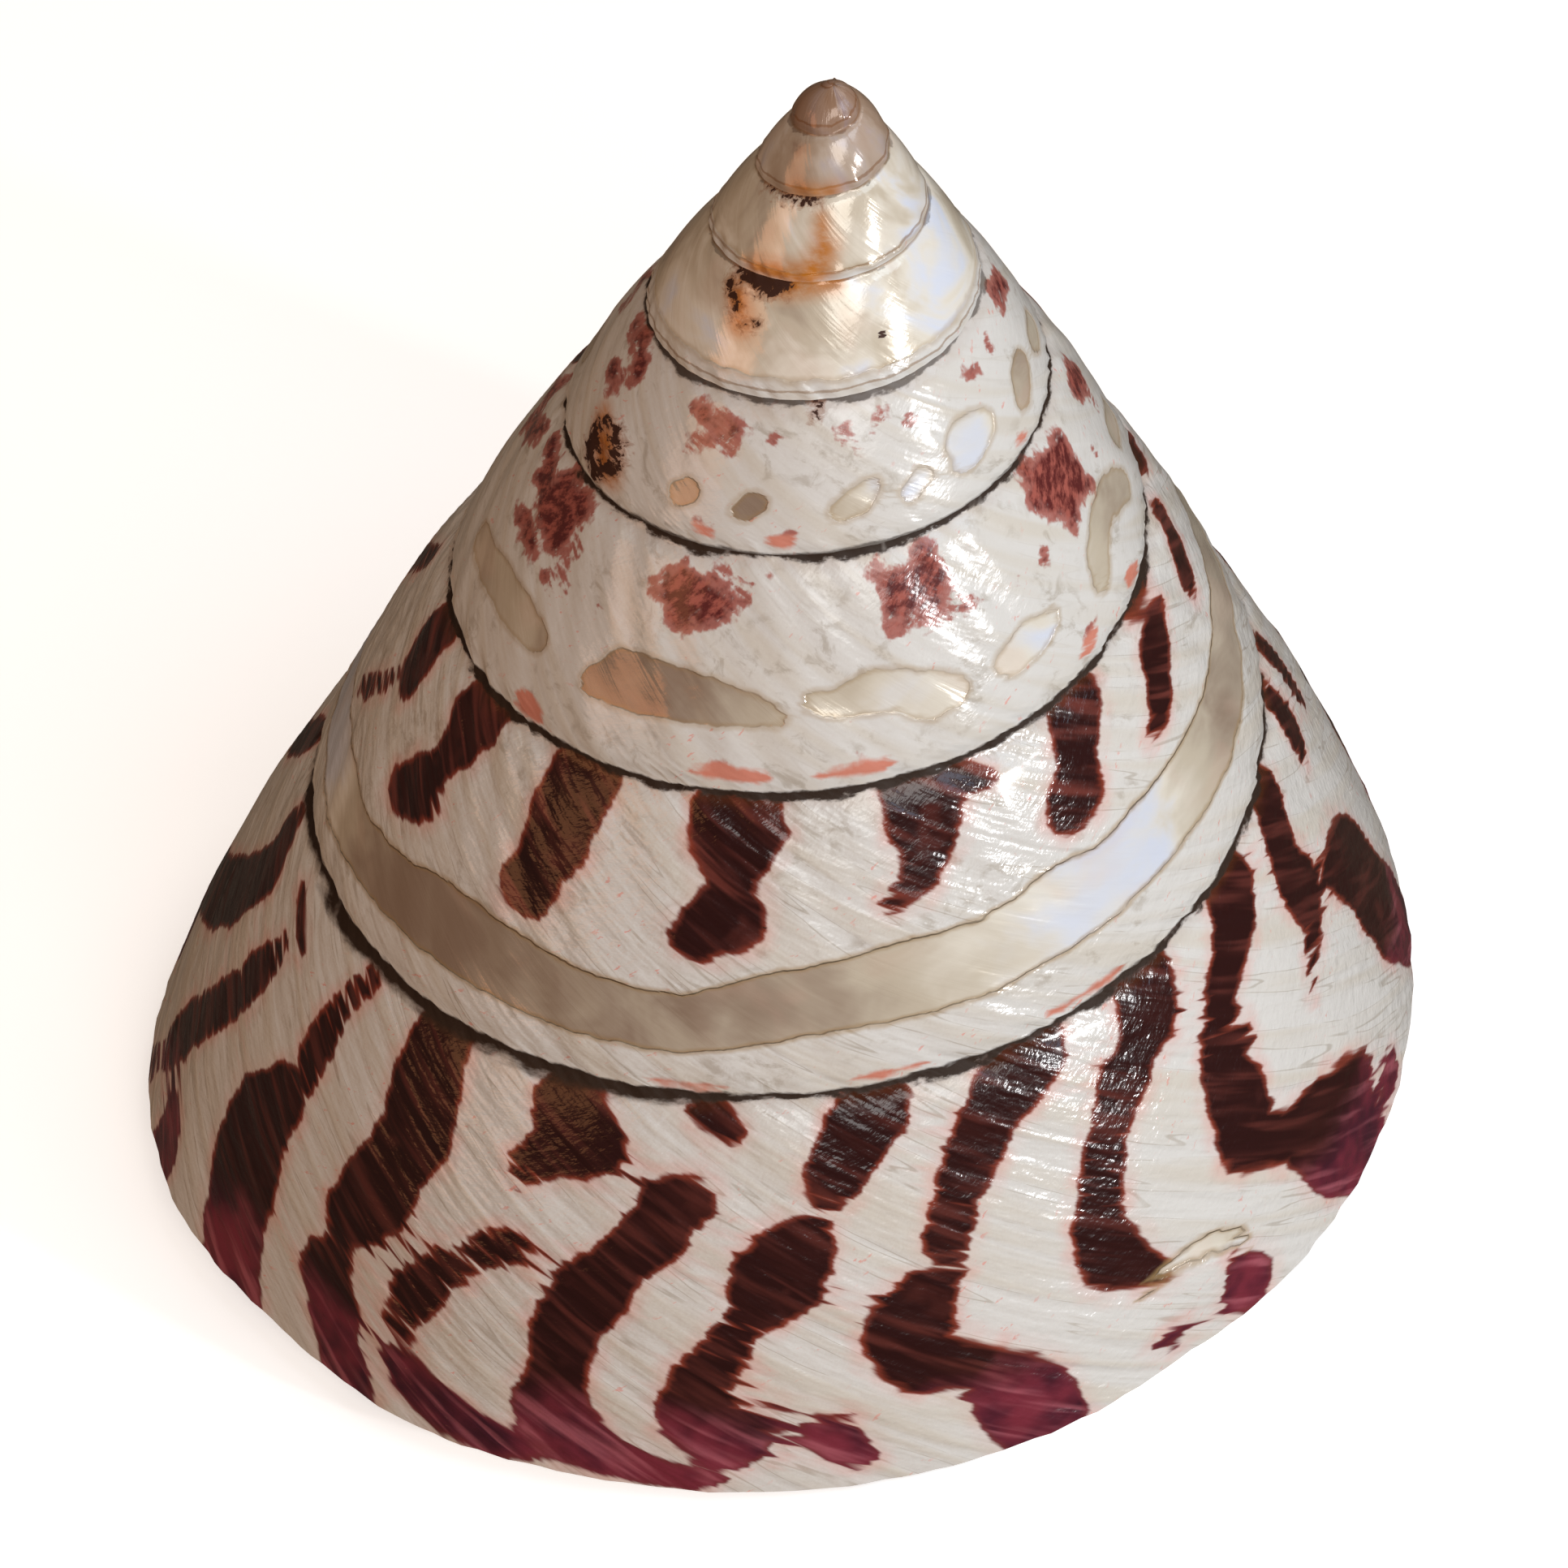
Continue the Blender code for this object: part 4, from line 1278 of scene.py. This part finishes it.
@dataclass(frozen=True)
class Pearl:
    """Group for the colour of worn mother of pearl, with its painted highlight and shade."""

    # Taupe and silver are the pearl in painted shade and painted highlight, partly its own patchy tone; blue
    # is a painted reflection of the cool lamps.
    taupe: Rgba = srgb(146, 126, 110)
    champagne: Rgba = srgb(197, 186, 168)
    silver: Rgba = srgb(226, 220, 208)
    blue: Rgba = srgb(208, 218, 240)
    rose: Rgba = srgb(214, 176, 160)

    def build(self) -> SurfaceGroup:
        """Build the group: place, growth and painted highlight and shade in, colour and ripple height out.
        """
        group = SurfaceGroup("mother_of_pearl", Light=0.0, Patchy=0.5)
        kit, given = group.kit, group.given
        clouds = kit.clouds(group.place, (0.13, 0.20), 0.4, rough=0.55, bend=0.8)
        # Painted highlight and shade from the given values, with noise for the pearl's own patchy tone.
        light = given["Light"] + (clouds - 0.5) * (given["Patchy"] * 1.6 + 1.2)
        tint = kit.clouds(group.place, (0.12, 0.16), 0.5, 2.0, bend=0.6)
        colour = kit.mix(light.step(-0.75, 0.05), self.taupe, self.champagne)
        colour = kit.mix(light.step(0.0, 0.65), colour, self.silver)
        # Painted cool highlight where the pearl is lightest.
        colour = kit.mix((light + tint).step(0.95, 1.5) * 0.8, colour, self.blue)
        colour = kit.mix(tint.step(0.46, 0.34) * 0.16, colour, self.rose)
        return group.give(Color=colour, Ripple=group.lines(0.55, 0.12, group.layer, 3.0, 0.55, 0.6))


class Canvas:
    """The fields of the surface that every layer of the finish reads."""

    def __init__(self, tree: bpy.types.NodeTree) -> None:
        """Read the fields in the material's own tree."""
        self.kit = NodeKit(tree)
        self.place = self.kit.attribute("skin_place", "Vector")
        self.along, self.down, _ = self.kit.split(self.place)
        names = ("growth", "whorl", "share_of_turn", "above_seam", "below_seam")
        self.growth, self.whorl, self.share, self.above, self.below = map(self.kit.attribute, names)
        self.grain = self.kit.use(GrowthGrain().build(), Place=self.place, Growth=self.growth)
        self.lower_turns = self.whorl.step(6.3, 6.6)

    def clouds(self, *shape: tuple[float, float] | float, **more: float) -> Wire:
        return self.kit.clouds(self.place, *shape, **more)


@dataclass(frozen=True)
class PolishedShell:
    """The finish of the whole shell: ground, flames, stains and pearl."""

    chalk: Rgba = srgb(206, 204, 201)
    cream: Rgba = srgb(194, 184, 168)
    grey: Rgba = srgb(150, 138, 122)
    pink: Rgba = srgb(214, 128, 116)
    fringe: Rgba = srgb(146, 62, 44)
    flame: Rgba = srgb(42, 16, 16)
    flame_light: Rgba = srgb(106, 52, 46)
    crimson: Rgba = srgb(116, 42, 56)
    pale_crimson: Rgba = srgb(178, 100, 112)
    violet: Rgba = srgb(62, 24, 38)
    rosy: Rgba = srgb(158, 86, 76)
    rosy_dark: Rgba = srgb(88, 36, 36)
    orange: Rgba = srgb(198, 116, 94)
    rim: Rgba = srgb(160, 132, 92)
    dirt: Rgba = srgb(44, 27, 14)
    stain: Rgba = srgb(56, 24, 8)
    # Rust of the stain halos, also used for the painted brown shadow below the seams.
    rust_and_seam_shadow: Rgba = srgb(134, 74, 24)
    amber: Rgba = srgb(182, 108, 14)
    tip: Rgba = srgb(118, 66, 24)
    ledge: Rgba = srgb(132, 100, 66)
    rose_fleck: Rgba = srgb(152, 58, 70)
    roughness: float = 0.12
    coat_roughness: float = 0.12
    refraction: float = 1.5
    shine: float = 0.42
    bump_distance: float = 0.00009

    def build(self) -> bpy.types.Material:
        """Build the material.

        Returns:
            The material, named for the finish.
        """
        material = bpy.data.materials.new("polished_shell")
        material.use_nodes = True
        shader = material.node_tree.nodes["Principled BSDF"]
        skin = Canvas(material.node_tree)
        kit, whorl = skin.kit, skin.whorl
        ragged = RaggedEdge().build()
        flame = kit.use(
            ragged, Place=skin.place, Growth=skin.growth, Depth=kit.attribute("flame_depth"),
            Run=0.16, Fray=0.60, Fringe=0.24, Softness=0.17,
        )
        blotch = kit.use(
            ragged, Place=skin.place, Growth=skin.along, Depth=kit.attribute("blotch_depth"),
            Run=0.45, Fray=skin.share.step(0.84, 0.88, 1.35, 0.40), Fringe=0.55, Softness=0.22,
        )
        colour = self.flames(skin, self.ground(skin), flame)
        colour = self.blotches(skin, colour, blotch)

        pearl_line = kit.attribute("pearl_depth") + (skin.clouds((0.6, 0.6), detail=2.0) - 0.5) * 0.7
        pearly = pearl_line.step(-0.06, 0.10)
        top = whorl.step(4.7, 4.3)
        # Mother of pearl, coloured by the painted highlight and shade of each turn.
        nacre = kit.use(
            Pearl().build(), Place=skin.place, Growth=skin.growth,
            Light=kit.attribute("pearl_sheen_and_shade"), Patchy=top,
        )
        rim = pearl_line.step(-0.45, -0.05) * pearl_line.step(0.42, 0.05)
        colour = kit.mix(pearly, colour, nacre["Color"])
        colour = kit.mix(rim * whorl.step(6.3, 6.5, 0.38, 0.6), colour, self.rim)
        colour, dirty = self.stains(skin, colour)

        rough = skin.grain["Lines"] * 0.20 + self.roughness + dirty * 0.50 - pearly * 0.06
        normal = self.bumps(skin, nacre["Ripple"], pearly)
        for name, value in {
            "Base Color": colour,
            "Roughness": rough,
            "Metallic": pearly * (top * -0.06 + 0.14),
            "Coat Weight": dirty * -0.08 + 0.10,
            "Normal": normal,
            "Coat Roughness": self.coat_roughness,
            "Coat IOR": self.refraction,
            "IOR": self.refraction,
            "Specular IOR Level": self.shine,
        }.items():
            kit.join(value, shader.inputs[name])
        return material

    def ground(self, skin: Canvas) -> Wire:
        """Lay the pale ground with its growth lines and flecks.

        Args:
            skin: The fields of the surface.

        Returns:
            The colour.
        """
        kit, whorl = skin.kit, skin.whorl
        lines, folds, clouds = (skin.grain[name] for name in ("Lines", "Folds", "Clouds"))
        colour = kit.mix(folds.step(0.42, 0.72) * 0.5, self.chalk, self.cream)
        ridges = abs(folds - 0.5).step(0.016, 0.004) * clouds.step(0.44, 0.56)
        ridges = ridges.top(lines.step(0.54, 0.76) * clouds.step(0.60, 0.44) * 0.30)
        colour = kit.mix(ridges * (skin.lower_turns * 0.36 + 0.10), colour, self.grey)
        patch = skin.clouds((0.17, 0.17), 0.9, 2.0)
        spots = skin.clouds((0.9, 1.9), -0.6, rough=0.65)
        fleck = spots.step(0.615, 0.68) * patch.step(0.47, 0.62)
        colour = kit.mix(fleck * 0.6, colour, self.pink)
        blur = skin.clouds((0.50, 0.75), 0.5, 4.0, 0.65, 0.6)
        smudge = blur.step(0.50, 0.68) * patch.step(0.54, 0.42)
        middle = whorl.step(7.45, 7.2) * whorl.step(4.4, 4.8)
        colour = kit.mix(smudge * middle * 0.5, colour, self.grey)
        from_axis = kit.attribute("from_axis")
        around = kit.math("ARCTAN2", skin.down, skin.along) * 9.0
        rows = kit.noise(kit.pack(from_axis * 0.62, around, 0.0), 2.0, 0.6).step(0.50, 0.60)
        rows = rows * kit.attribute("on_base") * from_axis.step(12.0, 22.0)
        return kit.mix(rows * 0.75, colour, self.rose_fleck)

    def flames(self, skin: Canvas, under: Wire, mask: dict[str, Wire]) -> Wire:
        """Lay the dark flames over a colour.

        Args:
            skin: The fields of the surface.
            under: The colour below.
            mask: The masks of the flames.

        Returns:
            The colour.
        """
        kit, whorl = skin.kit, skin.whorl
        folds, brushed, clouds = (skin.grain[name] for name in ("Folds", "Brushed", "Clouds"))
        streak = brushed.step(0.42, 0.66) * (folds.step(0.42, 0.60) * 0.85 + 0.15)
        streak = streak.top(clouds.step(0.56, 0.70) * 0.55)
        upper = whorl.step(7.45, 7.25) * 0.35
        core = kit.mix(streak * (upper + 0.52), self.flame, self.flame_light)
        low = (skin.share + clouds * 0.2).step(0.84, 0.98) * whorl.step(7.40, 7.55)
        rich = kit.mix(clouds.step(0.38, 0.62), self.violet, self.crimson)
        rich = kit.mix(brushed.step(0.46, 0.70) * 0.55, rich, self.pale_crimson)
        edge = kit.mix(low, self.fringe, self.crimson)
        edge = kit.mix(mask["Strength"] * -0.8 + 0.9, edge, self.flame_light)
        halo = mask["Frayed"].step(-1.4, 0.1) * (mask["Strength"] * 0.34)
        colour = kit.mix(mask["Edge"], kit.mix(halo, under, self.pink), edge)
        return kit.mix(mask["Core"], colour, kit.mix(low, core, rich))

    def blotches(self, skin: Canvas, under: Wire, mask: dict[str, Wire]) -> Wire:
        """Lay the rosy blotches and the orange lenses over a colour.

        Args:
            skin: The fields of the surface.
            under: The colour below.
            mask: The masks of the blotches.

        Returns:
            The colour.
        """
        kit = skin.kit
        lens = skin.share.step(0.84, 0.88)
        holes = skin.clouds((0.75, 1.3), -0.6, 4.0, 0.65)
        edge = mask["Edge"] * holes.step(0.30, 0.42).top(lens)
        colour = kit.mix(edge * 0.9, under, kit.mix(lens, self.rosy, self.orange))
        body = kit.mix(holes.step(0.42, 0.64), self.rosy_dark, self.rosy)
        return kit.mix(mask["Core"] * (1.0 - lens), colour, body)

    def stains(self, skin: Canvas, under: Wire) -> tuple[Wire, Wire]:
        """Lay the dirt of the seams and pits, and a painted shadow below the seams, over a colour.

        Args:
            skin: The fields of the surface.
            under: The colour below.

        Returns:
            The colour, and how dirty each place is.
        """
        kit, whorl = skin.kit, skin.whorl
        uneven = skin.clouds((0.45, 1.2), detail=4.0, rough=0.65)
        clumps = skin.clouds((0.13, 0.4), detail=2.0, rough=0.6)
        breaks = skin.clouds((0.30, 0.25), rough=0.6)
        crumbs = skin.clouds((1.1, 1.5), detail=4.0, rough=0.7, bend=0.5)
        shift = (uneven * 1.3 - 0.65) + (clumps * 1.6 - 0.8)
        below = skin.below - shift
        wide = whorl.step(8.02, 8.06) * whorl.step(8.30, 8.24) * 0.8
        wide = wide + whorl.step(4.4, 5.2, 0.14, 0.54)
        above = (skin.above + shift * 0.5).step(0.30, 0.05) * whorl.step(4.5, 4.7)
        line = below.step(wide, wide * 0.4).top(above) * whorl.step(4.4, 5.4, 0.50, 1.0)
        line = line * breaks.step(0.30, 0.42, 0.72, 1.0)
        line = line * (1.0 - whorl.step(7.56, 7.60) * skin.share.step(0.90, 0.95))
        # Painted brown shadow just below the upper seams.
        soft = below.step(1.5, 0.1) * whorl.step(4.2, 5.0, 0.0, 0.18)
        colour = kit.mix(line, kit.mix(soft, under, self.rust_and_seam_shadow), self.dirt)
        ledge = abs(skin.above - (uneven * 0.5 + 0.25)).step(0.13, 0.04).top(skin.below.step(0.22, 0.05))
        colour = kit.mix(ledge * whorl.step(4.55, 4.3) * 0.6, colour, self.ledge)
        colour = kit.mix(whorl.step(3.2, 1.2) * 0.75, colour, self.tip)
        golden = kit.attribute("amber_depth").step(-1.0, 0.8) * uneven.step(0.25, 0.6, 0.55, 0.95)
        colour = kit.mix(golden, colour, self.amber)
        ring = kit.attribute("stain_depth") + (crumbs - 0.55) * 3.0
        halo = ring.step(-0.6, 0.0)
        spot = ring.step(-0.05, 0.20).top(kit.attribute("speck_depth").step(-0.04, 0.04))
        colour = kit.mix(spot, kit.mix(halo * 0.5, colour, self.rust_and_seam_shadow), self.stain)
        return colour, line.top(spot).top(halo * 0.4)

    def bumps(self, skin: Canvas, ripple: Wire, pearly: Wire) -> Wire:
        """Make the fine relief.

        Args:
            skin: The fields of the surface.
            ripple: Height of the ripple in the pearl.
            pearly: Where the pearl shows.

        Returns:
            The bumped normal.
        """
        kit = skin.kit
        plain = (1.0 - pearly) * (skin.lower_turns * 0.65 + 0.35)
        facets = kit.noise(kit.pack(skin.growth * 0.60, skin.down * 0.42, 3.0), 2.0, 0.55)
        sparkle = skin.clouds((0.62, 1.15), -0.5, rough=0.6)
        height = skin.grain["Lines"] * (plain * 0.06 + 0.04)
        height = height + skin.grain["Brushed"] * (plain * 0.12 + 0.04)
        height = height + ripple * pearly * 0.65 + skin.grain["Folds"] * plain * 2.6
        height = height + sparkle * (plain * 1.1 + 0.2) + facets * (plain * 1.35 + 0.1)
        given = {"Strength": 1.0, "Distance": self.bump_distance, "Height": height}
        return kit.node("Bump", given)


@dataclass(frozen=True)
class Lamp:
    """A soft lamp: where it stands, its size, its strength and its colour."""

    name: str
    place: Point
    size: float
    watts: float
    colour: Point = (1.0, 1.0, 1.0)
    aim: Point = (0.0, 0.0, 0.03)

    def build(self) -> bpy.types.Object:
        """Build the lamp, pointed at its aim."""
        data = bpy.data.lights.new(self.name, "AREA")
        data.shape, data.size = "DISK", self.size
        data.energy, data.color = self.watts, self.colour
        lamp = bpy.data.objects.new(self.name, data)
        lamp.location = self.place
        ahead = Vector(self.aim) - Vector(self.place)
        lamp.rotation_euler = ahead.to_track_quat("-Z", "Y").to_euler()
        return lamp


@dataclass
class Studio:
    """Pale floor, soft lamps, and the camera of the photograph.

    The camera stands in the spiral's own frame and is laid down with the shell.
    """

    resting: Resting
    floor_half: float = 3.0
    floor_glow: float = 0.52
    aim_height: float = -42.74
    camera_distance: float = 391.2
    camera_rise: float = 44.0572
    camera_turns: Point = (0.3879, -1.9778, -0.7526)
    lens: float = 134.16
    world_colour: Rgba = (1.0, 0.78, 0.58, 1.0)
    world_strength: float = 0.26
    glossy_dimming: float = 0.18
    lamps: tuple[Lamp, ...] = (
        Lamp("key", (0.45, -0.36, 0.10), 0.03, 1.5, (0.98, 0.99, 1.0)),
        Lamp("right_window", (0.50, -0.28, 0.45), 0.35, 1.05, (0.62, 0.80, 1.0)),
        Lamp("front", (0.22, -0.62, 0.42), 0.40, 1.95, (1.0, 1.0, 0.98)),
        Lamp("left_fill", (-0.60, -0.35, 0.30), 0.40, 0.85, (1.0, 0.42, 0.18)),
        Lamp("top", (0.45, 0.15, 0.65), 0.45, 1.0),
    )

    def build_floor(self) -> bpy.types.Object:
        """Build the floor, a large plain slab under the shell."""
        mesh = bmesh.new()
        bmesh.ops.create_grid(mesh, x_segments=1, y_segments=1, size=self.floor_half)
        data = bpy.data.meshes.new("floor")
        mesh.to_mesh(data)
        mesh.free()
        material = bpy.data.materials.new("pale_floor")
        material.use_nodes = True
        shader = material.node_tree.nodes["Principled BSDF"]
        for name, value in {
            "Base Color": srgb(253, 253, 253),
            "Roughness": 0.9,
            "Specular IOR Level": 0.1,
            "Emission Color": (1.0, 1.0, 1.0, 1.0),
            "Emission Strength": self.floor_glow,
        }.items():
            shader.inputs[name].default_value = value
        data.materials.append(material)
        floor = bpy.data.objects.new("floor", data)
        floor.visible_glossy = floor.visible_diffuse = False
        return floor

    def camera_matrix(self) -> Matrix:
        """Camera pose on the floor, in metres."""
        rise = math.radians(self.camera_rise)
        aim = Vector((0.0, 0.0, self.aim_height))
        eye = aim + self.camera_distance * Vector((0.0, -math.cos(rise), math.sin(rise)))
        ahead = (aim - eye).normalized()
        right = Vector((1.0, 0.0, 0.0))
        above = right.cross(ahead)
        pan, tilt, roll = (math.radians(value) for value in self.camera_turns)
        turned = Matrix.Rotation(pan, 3, above) @ Matrix.Rotation(tilt, 3, right)
        rolled = Matrix.Rotation(roll, 3, turned @ ahead) @ turned
        pose = Matrix((rolled @ right, rolled @ above, rolled @ -ahead)).transposed().to_4x4()
        pose.translation = eye
        placed = self.resting.matrix() @ pose
        placed.translation *= MM
        return placed

    def build_camera(self) -> bpy.types.Object:
        """Build the camera."""
        data = bpy.data.cameras.new("camera")
        data.lens, data.sensor_width, data.clip_start = self.lens, 36.0, 0.01
        camera = bpy.data.objects.new("camera", data)
        camera.matrix_world = self.camera_matrix()
        return camera

    def build_world(self) -> bpy.types.World:
        """Build the pale world, dimmer for glossy rays."""
        world = bpy.data.worlds.new("pale_world")
        world.use_nodes = True
        back = world.node_tree.nodes["Background"]
        back.inputs["Color"].default_value = self.world_colour
        kit = NodeKit(world.node_tree)
        glossy = kit.node("LightPath", {}, "Is Glossy Ray")
        kit.join(glossy * -self.glossy_dimming + self.world_strength, back.inputs["Strength"])
        return world


def main() -> None:
    """Build the shell, its finish and its studio, and report each."""
    logging.basicConfig(level=logging.INFO, format="%(name)s: %(message)s")
    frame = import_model()
    LOG.info("frame with nodes %s", ", ".join(sorted(frame["nodes"])))

    scene = bpy.context.scene
    spiral, resting = Spiral(), Resting()
    shell = ShellForm(spiral, resting, Markings(spiral)).build()
    shell.data.materials.append(PolishedShell().build())
    scene.collection.objects.link(shell)
    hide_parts("shell")
    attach(shell, "root")
    LOG.info("shell dressed")

    studio = Studio(resting)
    floor, camera = studio.build_floor(), studio.build_camera()
    for item in (floor, camera, *(lamp.build() for lamp in studio.lamps)):
        scene.collection.objects.link(item)
    scene.camera, scene.world = camera, studio.build_world()
    scene.view_settings.view_transform = "Standard"
    LOG.info("studio ready")


if __name__ == "__main__":
    main()
